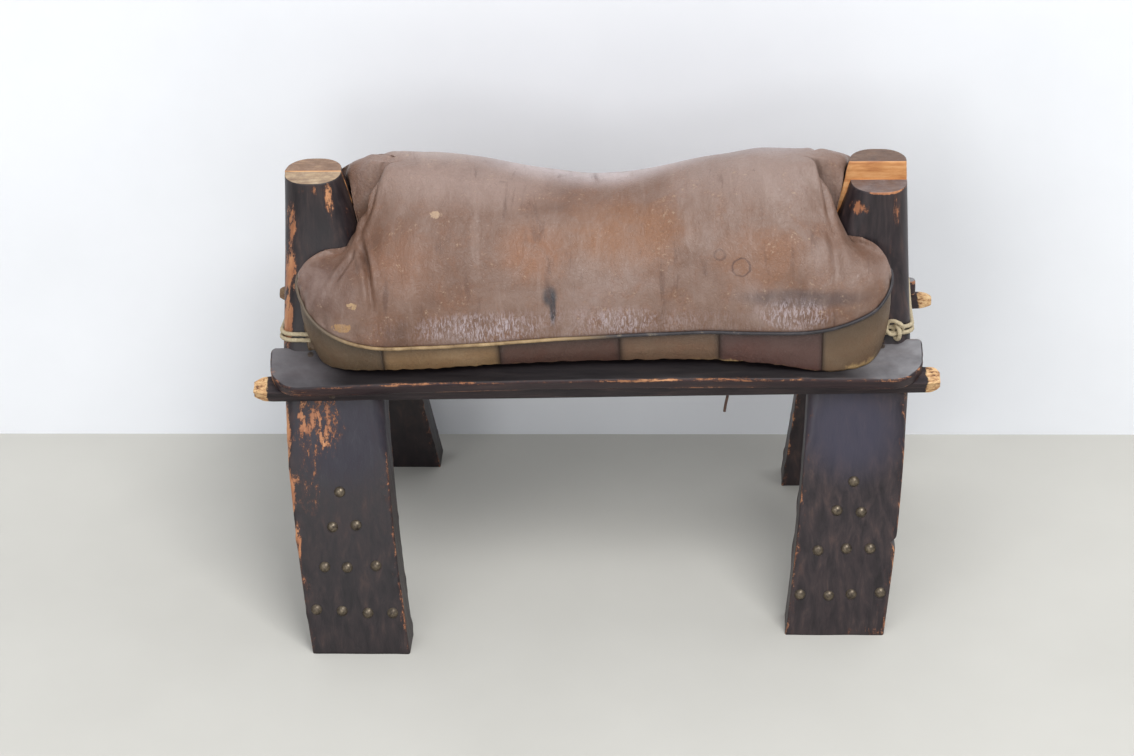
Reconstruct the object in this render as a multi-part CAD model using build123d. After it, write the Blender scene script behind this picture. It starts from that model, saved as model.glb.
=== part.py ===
from build123d import *
import os
from math import atan2, cos, degrees, pi, radians, sin, tan

# A camel saddle stool. Two yokes of mitred, arched plank legs are tied together
# by two sloping boards and two rails, and a stuffed leather cushion is tied
# between the pommels. The front is -Y, the long side lies along X, and the
# origin is on the floor under the middle of the stool.

os.makedirs("parts", exist_ok=True)

# Driving dimensions, in millimetres and degrees
rail_length = 712.0
board_length = 676.0
belly_reach = 326.0
foot_reach = 302.0
pommel_reach = 320.0
left_foot_span = 201.0
right_foot_span = 163.0
left_board_span = 82.0
right_board_span = 67.0
left_pommel_height = 470.0
right_pommel_height = 478.0
right_front_slip = 20.0
right_front_setback = 9.0
board_edge_height = 305.0
board_tilt = 24.0

# Fits
seat_clearance = 0.2
cushion_clearance = 0.5
cut_overrun = 40.0

# Legs
leg_width = 104.0
pommel_width = 58.0
pommel_half_depth = 29.0
foot_thickness = 38.0
crotch_thickness = 45.0
crotch_height = 400.0
shoulder_height = 262.0
chamfer_stop_height = 200.0
pommel_rounding = 25.0
edge_easing = 2.5
arch_share = 0.35
largest_corner_share = 0.46

# Boards and rails
board_width = 54.0
board_thickness = 16.0
board_scoop = 5.0
board_front_corner = 32.0
board_back_corner = 6.0
board_edge_rounding = 2.0
board_seat_depth = 5.0
rail_width = 22.0
rail_depth = 17.0
rail_setback = 2.0
rail_taper_length = 14.0
rail_tip_share = 0.45


class Yoke:
    """One end of the stool: its side, its spans and the height of its pommel."""

    def __init__(self, name, side, foot_span, board_span, pommel_height, slip, setback):
        self.name = name
        self.side = side
        self.foot_span = foot_span
        self.board_span = board_span
        self.pommel_height = pommel_height
        self.front_slip = slip
        self.front_setback = setback

    def face_span(self, height):
        """How far the outer face of a leg is from the mitre plane at a height."""
        foot_run = self.foot_span - self.board_span
        if height <= board_edge_height:
            fall_share = 1 - height / board_edge_height
            return self.board_span + foot_run * fall_share * (1 + arch_share * (1 - fall_share))
        rise = self.pommel_height - board_edge_height
        neck_run = self.board_span - pommel_half_depth
        board_slope = foot_run * (1 + arch_share) / board_edge_height
        curl = board_slope * rise / neck_run - 1
        fall_share = (self.pommel_height - height) / rise
        return pommel_half_depth + neck_run * fall_share * (1 - curl * (1 - fall_share))

    def thickness(self, height):
        """The level thickness of a leg plank at a height."""
        share = min(height / crotch_height, 1)
        return foot_thickness + (crotch_thickness - foot_thickness) * share

    def outer_reach(self, height):
        """How far the outer side of a leg is from the middle of the stool."""
        if height <= board_edge_height:
            return belly_reach - (belly_reach - foot_reach) * (1 - height / board_edge_height) ** 1.5
        rise_share = (height - board_edge_height) / (self.pommel_height - board_edge_height)
        return belly_reach - (belly_reach - pommel_reach) * rise_share

    def width(self, height):
        """The width of a leg, which narrows from the shoulder to the pommel."""
        rise_share = max(height - shoulder_height, 0) / (self.pommel_height - shoulder_height)
        return leg_width - (leg_width - pommel_width) * rise_share ** 1.3

    def setback(self, facing, height):
        """How much narrower the front half of the pommel is on its inner side."""
        if facing > 0:
            return 0
        neck_share = max(height - crotch_height, 0) / (self.pommel_height - crotch_height)
        return self.front_setback * neck_share

    def rounding(self, height):
        """The corner size: half round at the pommel, dying out in a stopped chamfer."""
        rise_share = max(height - chamfer_stop_height, 0) / (self.pommel_height - chamfer_stop_height)
        return edge_easing + (pommel_rounding - edge_easing) * rise_share ** 0.5


left_yoke = Yoke("left", -1, left_foot_span, left_board_span, left_pommel_height, 0, 0)
right_yoke = Yoke(
    "right", 1, right_foot_span, right_board_span, right_pommel_height, right_front_slip, right_front_setback
)
yokes = (left_yoke, right_yoke)
facings = {"front": -1, "back": 1}

# A leg's sections are drawn at even steps of its height
section_count = 12


def leg_section(yoke, facing, height):
    """A level slice of a leg: a rectangle with its two outer corners rounded."""
    outer_x = yoke.side * yoke.outer_reach(height)
    own_width = yoke.width(height) - yoke.setback(facing, height)
    inner_x = yoke.side * (yoke.outer_reach(height) - own_width)
    face_y = facing * yoke.face_span(height)
    back_y = facing * (yoke.face_span(height) - yoke.thickness(height))
    corner = min(yoke.rounding(height), own_width * largest_corner_share)
    inward = -yoke.side * corner
    backward = -facing * corner
    bulge = 1 - cos(pi / 4)
    return Wire(
        [
            Line((inner_x, back_y, height), (outer_x, back_y, height)),
            Line((outer_x, back_y, height), (outer_x, face_y + backward, height)),
            ThreePointArc(
                (outer_x, face_y + backward, height),
                (outer_x + inward * bulge, face_y + backward * bulge, height),
                (outer_x + inward, face_y, height),
            ),
            Line((outer_x + inward, face_y, height), (inner_x - inward, face_y, height)),
            ThreePointArc(
                (inner_x - inward, face_y, height),
                (inner_x - inward * bulge, face_y + backward * bulge, height),
                (inner_x, face_y + backward, height),
            ),
            Line((inner_x, face_y + backward, height), (inner_x, back_y, height)),
        ]
    )


def leg_blank(yoke, facing):
    """A whole arched plank with its rounded pommel half, cut at the mitre plane."""
    step = yoke.pommel_height / (section_count - 1)
    sections = [leg_section(yoke, facing, place * step) for place in range(section_count)]
    plank = Solid.make_loft(sections)
    beyond = cut_overrun + crotch_thickness
    past_mitre = Pos(yoke.side * belly_reach, -facing * beyond / 2, yoke.pommel_height / 2) * Box(
        2 * leg_width + cut_overrun, beyond, yoke.pommel_height + cut_overrun
    )
    blank = plank - past_mitre
    if facing < 0 and yoke.front_slip:
        above = Pos(yoke.side * belly_reach, 0, yoke.pommel_height - yoke.front_slip) * Box(
            2 * leg_width + cut_overrun,
            2 * leg_width,
            cut_overrun,
            align=(Align.CENTER, Align.CENTER, Align.MIN),
        )
        blank = blank - above
    return blank


# Side boards. Each lies in its own tilted frame: X along the board, Y down the
# slope from the back edge to the front edge, Z out of the top.
span_gap = left_board_span - right_board_span
seat_distance = 2 * belly_reach - leg_width
board_skew = degrees(atan2(span_gap, seat_distance))
board_mean_span = (left_board_span + right_board_span) / 2


def board_frame(facing):
    """The place of a side board: its back edge lies just inside the legs' faces."""
    edge_y = facing * (board_mean_span - board_seat_depth)
    turn = 180 if facing > 0 else 0
    skew = board_skew if facing < 0 else -board_skew
    return (
        Pos(0, edge_y, board_edge_height)
        * Rot(0, 0, turn + skew)
        * Rot(board_tilt, 0, 0)
    )


def board_outline():
    """The plan of a board: round front corners and a shallow scoop between them."""
    half = board_length / 2
    front = -board_width
    bend = cos(pi / 4)
    front_corner = board_front_corner
    back_corner = board_back_corner
    return Wire(
        [
            Line((-half + back_corner, 0), (half - back_corner, 0)),
            ThreePointArc(
                (half - back_corner, 0),
                (half - back_corner * (1 - bend), -back_corner * (1 - bend)),
                (half, -back_corner),
            ),
            Line((half, -back_corner), (half, front + front_corner)),
            ThreePointArc(
                (half, front + front_corner),
                (half - front_corner * (1 - bend), front + front_corner * (1 - bend)),
                (half - front_corner, front),
            ),
            ThreePointArc(
                (half - front_corner, front),
                (0, front + board_scoop),
                (-half + front_corner, front),
            ),
            ThreePointArc(
                (-half + front_corner, front),
                (-half + front_corner * (1 - bend), front + front_corner * (1 - bend)),
                (-half, front + front_corner),
            ),
            Line((-half, front + front_corner), (-half, -back_corner)),
            ThreePointArc(
                (-half, -back_corner),
                (-half + back_corner * (1 - bend), -back_corner * (1 - bend)),
                (-half + back_corner, 0),
            ),
        ]
    )


def side_board(facing):
    """A sloping plank with eased edges."""
    plank = extrude(Face(board_outline()), amount=board_thickness, dir=(0, 0, -1))
    eased = fillet(plank.edges().filter_by(Plane.XY), board_edge_rounding)
    return board_frame(facing) * eased


def side_rail(facing):
    """A square rail under the front part of a board, with whittled ends."""
    straight = rail_length - 2 * rail_taper_length
    middle_y = -board_width + board_scoop + rail_setback + rail_width / 2
    middle_z = -board_thickness - rail_depth / 2
    rail = Box(straight, rail_width, rail_depth)
    for end in (-1, 1):
        root = Plane((end * straight / 2, 0, 0), x_dir=(0, 1, 0), z_dir=(end, 0, 0))
        tip = Plane((end * rail_length / 2, 0, 0), x_dir=(0, 1, 0), z_dir=(end, 0, 0))
        rail += loft(
            [
                root * Rectangle(rail_width, rail_depth),
                tip * Rectangle(rail_width * rail_tip_share, rail_depth * rail_tip_share),
            ]
        )
    return board_frame(facing) * Pos(0, middle_y, middle_z) * rail


def seat_cutter(facing):
    """The notch that a board and its rail need in the faces of the legs."""
    length = rail_length + cut_overrun
    board_depth = board_thickness + 2 * seat_clearance
    board_slot = Pos(0, seat_clearance, seat_clearance) * Box(
        length, board_width + cut_overrun, board_depth, align=(Align.CENTER, Align.MAX, Align.MAX)
    )
    rail_back = -board_width + board_scoop + rail_setback + rail_width + seat_clearance
    rail_slot = Pos(0, rail_back, -board_thickness) * Box(
        length, rail_width + cut_overrun, rail_depth + seat_clearance,
        align=(Align.CENTER, Align.MAX, Align.MAX),
    )
    return board_frame(facing) * (board_slot + rail_slot)


# Domed brass studs, in rows of four, three, two and one up the face of each leg
stud_diameter = 11.6
stud_dome_height = 3.6
stud_shank_radius = 1.1
stud_shank_length = 14.0
stud_row_shares = (0.151, 0.308, 0.439, 0.548)
stud_pitch = 27.0
stud_scatter = 1.8
fastener_clearance = 0.1


def stud():
    """A domed head on a nail, with its seat at the origin and its dome along Z."""
    radius = stud_diameter / 2
    shank = stud_shank_radius
    ball_radius = (radius**2 + stud_dome_height**2) / (2 * stud_dome_height)
    half_angle = atan2(radius, ball_radius - stud_dome_height) / 2
    rim_x = ball_radius * sin(half_angle)
    rim_z = ball_radius * cos(half_angle) - ball_radius + stud_dome_height
    half_profile = Wire(
        [
            Line((0, 0, -stud_shank_length), (shank, 0, -stud_shank_length)),
            Line((shank, 0, -stud_shank_length), (shank, 0, 0)),
            Line((shank, 0, 0), (radius, 0, 0)),
            ThreePointArc((radius, 0, 0), (rim_x, 0, rim_z), (0, 0, stud_dome_height)),
            Line((0, 0, stud_dome_height), (0, 0, -stud_shank_length)),
        ]
    )
    return revolve(Face(half_profile), Axis.Z)


def stud_hole():
    """The hole for a stud's shank, open past the face of the leg."""
    depth = stud_shank_length + fastener_clearance
    return Cylinder(stud_shank_radius + fastener_clearance, 2 * depth)


def stud_seats(yoke, facing, leg):
    """The ten places on the curved face of a leg, a little out of true."""
    seats = []
    for row, share in enumerate(stud_row_shares):
        count = len(stud_row_shares) - row
        level = share * board_edge_height
        centre = yoke.outer_reach(level) - yoke.width(level) / 2
        for place in range(count):
            along = (place - (count - 1) / 2) * stud_pitch
            wander = stud_scatter * sin(5 * row + 3 * place + 2 * facing + yoke.side)
            x = yoke.side * centre + along + wander
            z = level + stud_scatter * cos(4 * row + 5 * place + facing - yoke.side)
            line = Axis((x, facing * (yoke.foot_span + cut_overrun), z), (0, -facing, 0))
            seat, normal = leg.find_intersection_points(line)[0]
            if normal.Y * facing < 0:
                normal = -normal
            seats.append(Plane(seat, x_dir=(1, 0, 0), z_dir=normal).location)
    return seats


# Nails through the boards and rails, and hidden pegs across each mitre
nail_shank_radius = 1.5
nail_head_radius = 3.3
nail_head_depth = 1.2
board_nail_length = 42.0
board_nail_inset = 10.0
board_nail_pitch = 44.0
rail_nail_length = 44.0
peg_radius = 4.0
peg_length = 44.0
peg_depths = (36.0, 64.0)


def nail(length, clearance):
    """A flat-headed nail, its head flush at the origin and its point along -Z."""
    low = (Align.CENTER, Align.CENTER, Align.MAX)
    head = Cylinder(nail_head_radius + clearance, nail_head_depth + clearance, align=low)
    shank = Cylinder(nail_shank_radius + clearance, length + clearance, align=low)
    return head + shank


def board_nails(facing, side, clearance):
    """The two nails through a board into one of its legs."""
    leg_centre = -facing * side * (belly_reach - leg_width / 2)
    return [
        board_frame(facing)
        * Pos(leg_centre + along, -board_nail_inset, 0)
        * nail(board_nail_length, clearance)
        for along in (-board_nail_pitch / 2, board_nail_pitch / 2)
    ]


def rail_nail(facing, side, clearance):
    """The nail through a rail into one of its legs."""
    leg_centre = -facing * side * (belly_reach - leg_width / 2)
    front_y = -board_width + board_scoop + rail_setback
    centre_z = -board_thickness - rail_depth / 2
    upright = board_frame(facing) * Pos(leg_centre, front_y, centre_z) * Rot(90, 0, 0)
    return upright * nail(rail_nail_length, clearance)


def yoke_pegs(yoke, clearance):
    """Two pegs that cross the mitre and end inside both halves of the pommel."""
    pegs = []
    for depth in peg_depths:
        level = yoke.pommel_height - depth
        centre = yoke.side * (yoke.outer_reach(level) - yoke.width(level) / 2)
        rod = Cylinder(peg_radius + clearance, peg_length + 2 * clearance)
        pegs.append(Pos(centre, 0, level) * Rot(90, 0, 0) * rod)
    return pegs


# Cushion: a packed leather bag with a side band, notched at both ends so that
# it drops over the pommels
cushion_length = 606.0
cushion_left_half_width = 121.0
cushion_right_half_width = 109.0
band_left_height = 37.0
band_right_height = 46.0
band_left_lean = 10.0
band_right_lean = 4.0
band_tuck = 6.0
cushion_crown = 150.0
seam_rise = 35.0
ridge_shift = 14.0
leather_thickness = 2.0
notch_gap = 2.5

# Evenly spaced stations along the cushion, with the width, the crown and the rise
# of the seam there as shares of their full sizes, from left to right
width_shares = (
    0.727, 0.956, 1.017, 1.01, 0.987, 0.968, 0.948, 0.929, 0.917,
    0.906, 0.899, 0.905, 0.924, 0.953, 0.968, 0.938, 0.66,
)
crown_shares = (
    0.2, 0.6, 0.9, 1, 0.97, 0.91, 0.865, 0.82, 0.79,
    0.8, 0.86, 0.915, 0.95, 0.965, 0.95, 0.667, 0.32,
)
seam_rise_shares = (1, 0.22, 0.02, 0, 0, 0, 0, 0, 0, 0, 0, 0, 0, 0, 0.02, 0.25, 0.8)
station_count = len(width_shares)
band_seam_shares = (-0.713, -0.314, 0.086, 0.422, 0.769)
notch_shares = (0.5, 0.58, 0.65, 0.7, 0.76, 0.83, 0.91, 1)


class Station:
    """The sizes of the cushion at one place along it, drawn in by an inset."""

    def __init__(self, place, inset):
        from_left = place / (station_count - 1)
        slope = tan(radians(board_tilt))
        half_width = cushion_left_half_width * (1 - from_left) + cushion_right_half_width * from_left
        lean = band_left_lean * (1 - from_left) + band_right_lean * from_left
        band_height = band_left_height * (1 - from_left) + band_right_height * from_left
        board_y = board_mean_span - board_seat_depth
        rest_z = board_edge_height + cushion_clearance
        self.x = (from_left - 1 / 2) * (cushion_length - 2 * inset)
        self.edge_y = board_y + tan(radians(board_skew)) * -self.x
        self.flat_z = rest_z + inset
        self.seam_y = half_width * width_shares[place] - inset
        self.foot_y = self.seam_y - lean
        self.foot_z = self.flat_z + inset * slope - slope * (self.foot_y - self.edge_y)
        low_z = rest_z - slope * (cushion_right_half_width - board_mean_span)
        self.seam_z = low_z + band_height + seam_rise * seam_rise_shares[place]
        self.crown_z = self.seam_z + cushion_crown * crown_shares[place] - inset


def cushion_section(place, inset):
    """A slice across the cushion: sloping seats, leaning bands and the crown."""
    at = Station(place, inset)
    bend = cos(pi / 4)
    crown_rise = (at.crown_z - at.seam_z) * bend
    outline = [
        (at.x, -at.edge_y, at.flat_z),
        (at.x, at.edge_y, at.flat_z),
        (at.x, at.foot_y, at.foot_z),
        (at.x, at.seam_y, at.seam_z),
        (at.x, ridge_shift, at.crown_z),
        (at.x, -at.seam_y, at.seam_z),
        (at.x, -at.foot_y, at.foot_z),
    ]
    back_bulge = (at.x, ridge_shift + (at.seam_y - ridge_shift) * bend, at.seam_z + crown_rise)
    front_bulge = (at.x, ridge_shift - (at.seam_y + ridge_shift) * bend, at.seam_z + crown_rise)
    return Wire(
        [
            Line(outline[0], outline[1]),
            Line(outline[1], outline[2]),
            Line(outline[2], outline[3]),
            ThreePointArc(outline[3], back_bulge, outline[4]),
            ThreePointArc(outline[4], front_bulge, outline[5]),
            Line(outline[5], outline[6]),
            Line(outline[6], outline[0]),
        ]
    )


def notch_slice(side, inner_x, outer_x, reach, level):
    """One level rectangle of the notch."""
    corners = [(inner_x, -reach), (outer_x, -reach), (outer_x, reach), (inner_x, reach)]
    points = [(side * x, y, level) for x, y in corners]
    return Wire([Line(points[place - 1], points[place]) for place in range(len(points))])


def notch(yoke, gap):
    """The room round one yoke: its outer faces and inner side, with a gap."""
    outer_x = cushion_length / 2 + cut_overrun
    slices = []
    for share in notch_shares:
        level = share * yoke.pommel_height
        inner_x = yoke.outer_reach(level) - yoke.width(level) - gap
        slices.append(notch_slice(yoke.side, inner_x, outer_x, yoke.face_span(level) + gap, level))
    top = yoke.pommel_height + cut_overrun
    slices.append(notch_slice(yoke.side, inner_x, outer_x, pommel_half_depth + gap, top))
    return Solid.make_loft(slices, ruled=True)


def pad(inset):
    """The cushion's whole form, drawn in by an inset, with a notch at each end."""
    body = Solid.make_loft([cushion_section(place, inset) for place in range(station_count)])
    for yoke in yokes:
        body = body - notch(yoke, notch_gap + inset)
    return body


def under_seam():
    """All the room below the seam between the top panel and the side band."""
    stations = [Station(place, 0) for place in range(station_count)]
    first = stations[0]
    last = stations[-1]
    seam = Spline([(at.x, 0, at.seam_z) for at in stations])
    run_out = cut_overrun + cushion_length / 2
    profile = Wire(
        [
            Line((-run_out, 0, first.seam_z), (first.x, 0, first.seam_z)),
            seam,
            Line((last.x, 0, last.seam_z), (run_out, 0, last.seam_z)),
            Line((run_out, 0, last.seam_z), (run_out, 0, 0)),
            Line((run_out, 0, 0), (-run_out, 0, 0)),
            Line((-run_out, 0, 0), (-run_out, 0, first.seam_z)),
        ]
    )
    return extrude(Face(profile), amount=run_out, dir=(0, 1, 0), both=True)


def inside_bands():
    """The plan of the bottom panel, up to where the side band tucks under it."""
    end_x = cushion_length / 2 - band_tuck
    front = []
    for place in range(station_count):
        at = Station(place, 0)
        front.append((at.x * end_x / (cushion_length / 2), at.foot_y - band_tuck))
    back_edge = Spline([(x, y) for x, y in front])
    front_edge = Spline([(x, -y) for x, y in front])
    plan = Wire(
        [
            front_edge,
            Line((front[-1][0], -front[-1][1]), front[-1]),
            back_edge,
            Line(front[0], (front[0][0], -front[0][1])),
        ]
    )
    return extrude(Face(plan), amount=board_edge_height + cushion_crown, dir=(0, 0, 1))


def band_pieces(cover, below_seam, panel_plan, facing):
    """The six patches of one side of the band, cut at the sewn joins."""
    reach = cushion_length / 2 + cut_overrun
    joins = [-reach] + [share * cushion_length / 2 for share in band_seam_shares] + [reach]
    pieces = []
    for low, high in zip(joins, joins[1:]):
        room = Pos((low + high) / 2, facing * reach / 2, board_edge_height) * Box(
            high - low, reach, board_edge_height
        )
        pieces.append(cover & ((room & below_seam) - panel_plan))
    return pieces


# Ties: a doubled cotton cord from each end of the cushion round the leg edges
tie_diameter = 5.0
tie_lift = 9.0
tie_strand_gap = 0.5
tie_clearance = 0.6
tie_buried_length = 12.0
knot_radius = 6.5
knot_reach_share = 0.75
knot_loop_radius = 5.6
knot_loop_lift_share = 0.6
knot_loop_cord = 3.0
knot_standoff = 8.0


def tie_path(yoke, level):
    """A tight loop of cord that rounds the leg edges at the edges' own radius."""
    stand_off = tie_clearance + tie_diameter / 2
    outer_x = yoke.side * (yoke.outer_reach(level) + stand_off)
    start_x = yoke.side * (cushion_length / 2 - tie_buried_length)
    reach = yoke.face_span(level) + stand_off
    corner = yoke.rounding(level) + stand_off
    points = [
        (start_x, -reach, level),
        (outer_x, -reach, level),
        (outer_x, reach, level),
        (start_x, reach, level),
    ]
    return FilletPolyline(*points, radius=corner)


def tie_strands(yoke, cushion):
    """Both strands of a tie, which end where they go into the cushion."""
    strands = []
    for strand in range(2):
        level = board_edge_height + tie_lift + strand * (tie_diameter + tie_strand_gap)
        path = tie_path(yoke, level)
        tube = sweep(Plane(path @ 0, z_dir=path % 0) * Circle(tie_diameter / 2), path=path)
        print(yoke.name, "tie: tube volume over section times length",
              tube.volume / (pi * (tie_diameter / 2) ** 2 * path.length))
        strands.append(tube - cushion)
    return strands


def tie_knot(yoke, facing, strands):
    """A lump of knotted cord on the strands, with a small loop standing on it."""
    level = board_edge_height + tie_lift + (tie_diameter + tie_strand_gap) / 2
    reach = yoke.face_span(level) + tie_clearance + tie_diameter + knot_radius * knot_reach_share
    place = Pos(yoke.side * (cushion_length / 2 + knot_standoff), facing * reach, level)
    lump = place * Sphere(knot_radius)
    loop_centre = Pos(0, 0, knot_radius + knot_loop_radius * knot_loop_lift_share)
    loop = place * loop_centre * Rot(90, 0, 0) * Torus(knot_loop_radius, knot_loop_cord / 2)
    knot = lump + loop
    for strand in strands:
        knot = knot - strand
    return knot


# Lace: a short leather thong that hangs from a tack under the front rail
lace_diameter = 3.0
lace_place_share = 0.385
tack_head_radius = 3.5
tack_head_depth = 1.2
tack_shank_radius = 0.9
tack_length = 9.0
lace_points = [(0, 0.5, -1.1), (0, 3.1, -7.0), (-0.7, 2.9, -14.2), (-2.5, 1.9, -21.3), (-3.7, 2.8, -31.2)]


def lace_seat():
    """The middle of the underside of the front rail, where the tack goes in."""
    middle_y = -board_width + board_scoop + rail_setback + rail_width / 2
    along = lace_place_share * rail_length / 2
    return board_frame(-1) * Pos(along, middle_y, -board_thickness - rail_depth)


def lace_tack():
    """A flat tack with its head on the rail's underside and its point up in the rail."""
    head = Cylinder(tack_head_radius, tack_head_depth, align=(Align.CENTER, Align.CENTER, Align.MAX))
    return lace_seat() * (head + tack_shank(0))


def tack_shank(clearance):
    """The shank of the tack, or the hole for it."""
    return Cylinder(
        tack_shank_radius + clearance,
        tack_length + clearance,
        align=(Align.CENTER, Align.CENTER, Align.MIN),
    )


def bend_radii(points):
    """The largest even arc that each corner of a cord's route leaves room for."""
    radii = []
    for before, corner, after in zip(points, points[1:], points[2:]):
        run_in = Vector(*corner) - Vector(*before)
        run_out = Vector(*after) - Vector(*corner)
        half_turn = radians(run_in.get_angle(run_out)) / 2
        radii.append(0.45 * min(run_in.length, run_out.length) / tan(half_turn))
    return radii


def lace():
    """The lace along its route below the tack."""
    radii = bend_radii(lace_points)
    print("lace bend radii", [round(radius, 1) for radius in radii])
    path = FilletPolyline(*lace_points, radius=radii)
    tube = sweep(Plane(path @ 0, z_dir=path % 0) * Circle(lace_diameter / 2), path=path)
    print("lace length", round(path.length, 1), "tube volume over section times length",
          tube.volume / (pi * (lace_diameter / 2) ** 2 * path.length))
    return Pos(*lace_seat().position) * tube


# The whole stool, piece by piece
pieces = {}
cushion = pad(0)
pieces["cushion_filling"] = pad(leather_thickness)
cover = cushion - pieces["cushion_filling"]
below_seam = under_seam()
panel_plan = inside_bands()
pieces["cushion_top_panel"] = cover - below_seam
pieces["cushion_bottom_panel"] = (cover & below_seam) & panel_plan
for name, facing in facings.items():
    for place, patch in enumerate(band_pieces(cover, below_seam, panel_plan, facing), start=1):
        pieces[f"{name}_band_{place}"] = patch

all_board_nails = []
all_rail_nails = []
for name, facing in facings.items():
    board_cuts = []
    rail_cuts = []
    for yoke in yokes:
        all_board_nails += board_nails(facing, yoke.side, 0)
        all_rail_nails.append(rail_nail(facing, yoke.side, 0))
        board_cuts += board_nails(facing, yoke.side, fastener_clearance)
        rail_cuts.append(rail_nail(facing, yoke.side, fastener_clearance))
    if name == "front":
        rail_cuts.append(lace_seat() * tack_shank(fastener_clearance))
    pieces[f"{name}_board"] = side_board(facing) - board_cuts
    pieces[f"{name}_rail"] = side_rail(facing) - rail_cuts
pieces["board_nails"] = Compound(children=all_board_nails)
pieces["rail_nails"] = Compound(children=all_rail_nails)

for yoke in yokes:
    for name, facing in facings.items():
        blank = leg_blank(yoke, facing)
        seats = stud_seats(yoke, facing, blank)
        cuts = [seat_cutter(facing), rail_nail(facing, yoke.side, fastener_clearance)]
        cuts += yoke_pegs(yoke, fastener_clearance)
        cuts += board_nails(facing, yoke.side, fastener_clearance)
        cuts += [seat * stud_hole() for seat in seats]
        pieces[f"{yoke.name}_{name}_leg"] = blank - cuts
        pieces[f"{yoke.name}_{name}_studs"] = Compound(children=[seat * stud() for seat in seats])
    pieces[f"{yoke.name}_yoke_pegs"] = Compound(children=yoke_pegs(yoke, 0))
    strands = tie_strands(yoke, cushion)
    pieces[f"{yoke.name}_tie"] = Compound(children=strands)
    pieces[f"{yoke.name}_tie_knot"] = tie_knot(yoke, -yoke.side, strands)

pieces["lace_tack"] = lace_tack()
pieces["lace"] = lace()

for name, piece in pieces.items():
    export_step(piece, f"parts/{name}.step")
print(len(pieces), "pieces")
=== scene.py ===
from math import cos, pi, radians, sin

import bpy
import numpy as np
from mathutils import Matrix, Vector


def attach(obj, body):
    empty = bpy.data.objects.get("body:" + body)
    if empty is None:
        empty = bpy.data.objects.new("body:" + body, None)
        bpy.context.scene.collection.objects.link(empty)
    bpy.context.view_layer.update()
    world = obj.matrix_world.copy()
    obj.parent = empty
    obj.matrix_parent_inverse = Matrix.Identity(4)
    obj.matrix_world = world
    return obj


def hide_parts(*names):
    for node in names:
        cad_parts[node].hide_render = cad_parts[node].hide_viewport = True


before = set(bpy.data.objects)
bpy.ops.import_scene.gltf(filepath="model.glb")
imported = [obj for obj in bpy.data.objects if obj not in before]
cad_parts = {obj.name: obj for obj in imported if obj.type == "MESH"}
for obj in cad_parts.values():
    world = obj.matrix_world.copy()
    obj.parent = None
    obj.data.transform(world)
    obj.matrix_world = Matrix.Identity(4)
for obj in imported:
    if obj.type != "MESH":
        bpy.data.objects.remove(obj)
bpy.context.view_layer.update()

# Camera and daylight
# The stool stands on a floor in front of a white board and is seen from a little
# to the right and from well above, with the camera held slightly askew.
camera_place = (0.1465, -2.6414, 1.8176)
camera_yaw = radians(-3.94)
camera_pitch = radians(31.11)
camera_roll = radians(-2.05)
photo_width = 1134
focal_pixels = 2878
film_width = 36.0

forward = np.array(
    [sin(camera_yaw) * cos(camera_pitch), cos(camera_yaw) * cos(camera_pitch), -sin(camera_pitch)]
)
level_right = np.array([cos(camera_yaw), -sin(camera_yaw), 0.0])
level_up = np.cross(level_right, forward)
right = cos(camera_roll) * level_right + sin(camera_roll) * level_up
up = cos(camera_roll) * level_up - sin(camera_roll) * level_right
camera_data = bpy.data.cameras.new("camera")
camera_data.sensor_fit = "HORIZONTAL"
camera_data.sensor_width = film_width
camera_data.lens = film_width * focal_pixels / photo_width
camera = bpy.data.objects.new("camera", camera_data)
bpy.context.scene.collection.objects.link(camera)
camera_turn = Matrix((right, up, -forward)).transposed().to_4x4()
camera.matrix_world = Matrix.Translation(camera_place) @ camera_turn
bpy.context.scene.camera = camera
bpy.context.scene.view_settings.view_transform = "Standard"


def srgb(red, green, blue):
    """A colour as it is seen on a screen, 0 to 255, turned into linear light."""
    shares = np.array([red, green, blue]) / 255
    linear = np.where(shares <= 0.04045, shares / 12.92, ((shares + 0.055) / 1.055) ** 2.4)
    return (*linear.tolist(), 1.0)


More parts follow.
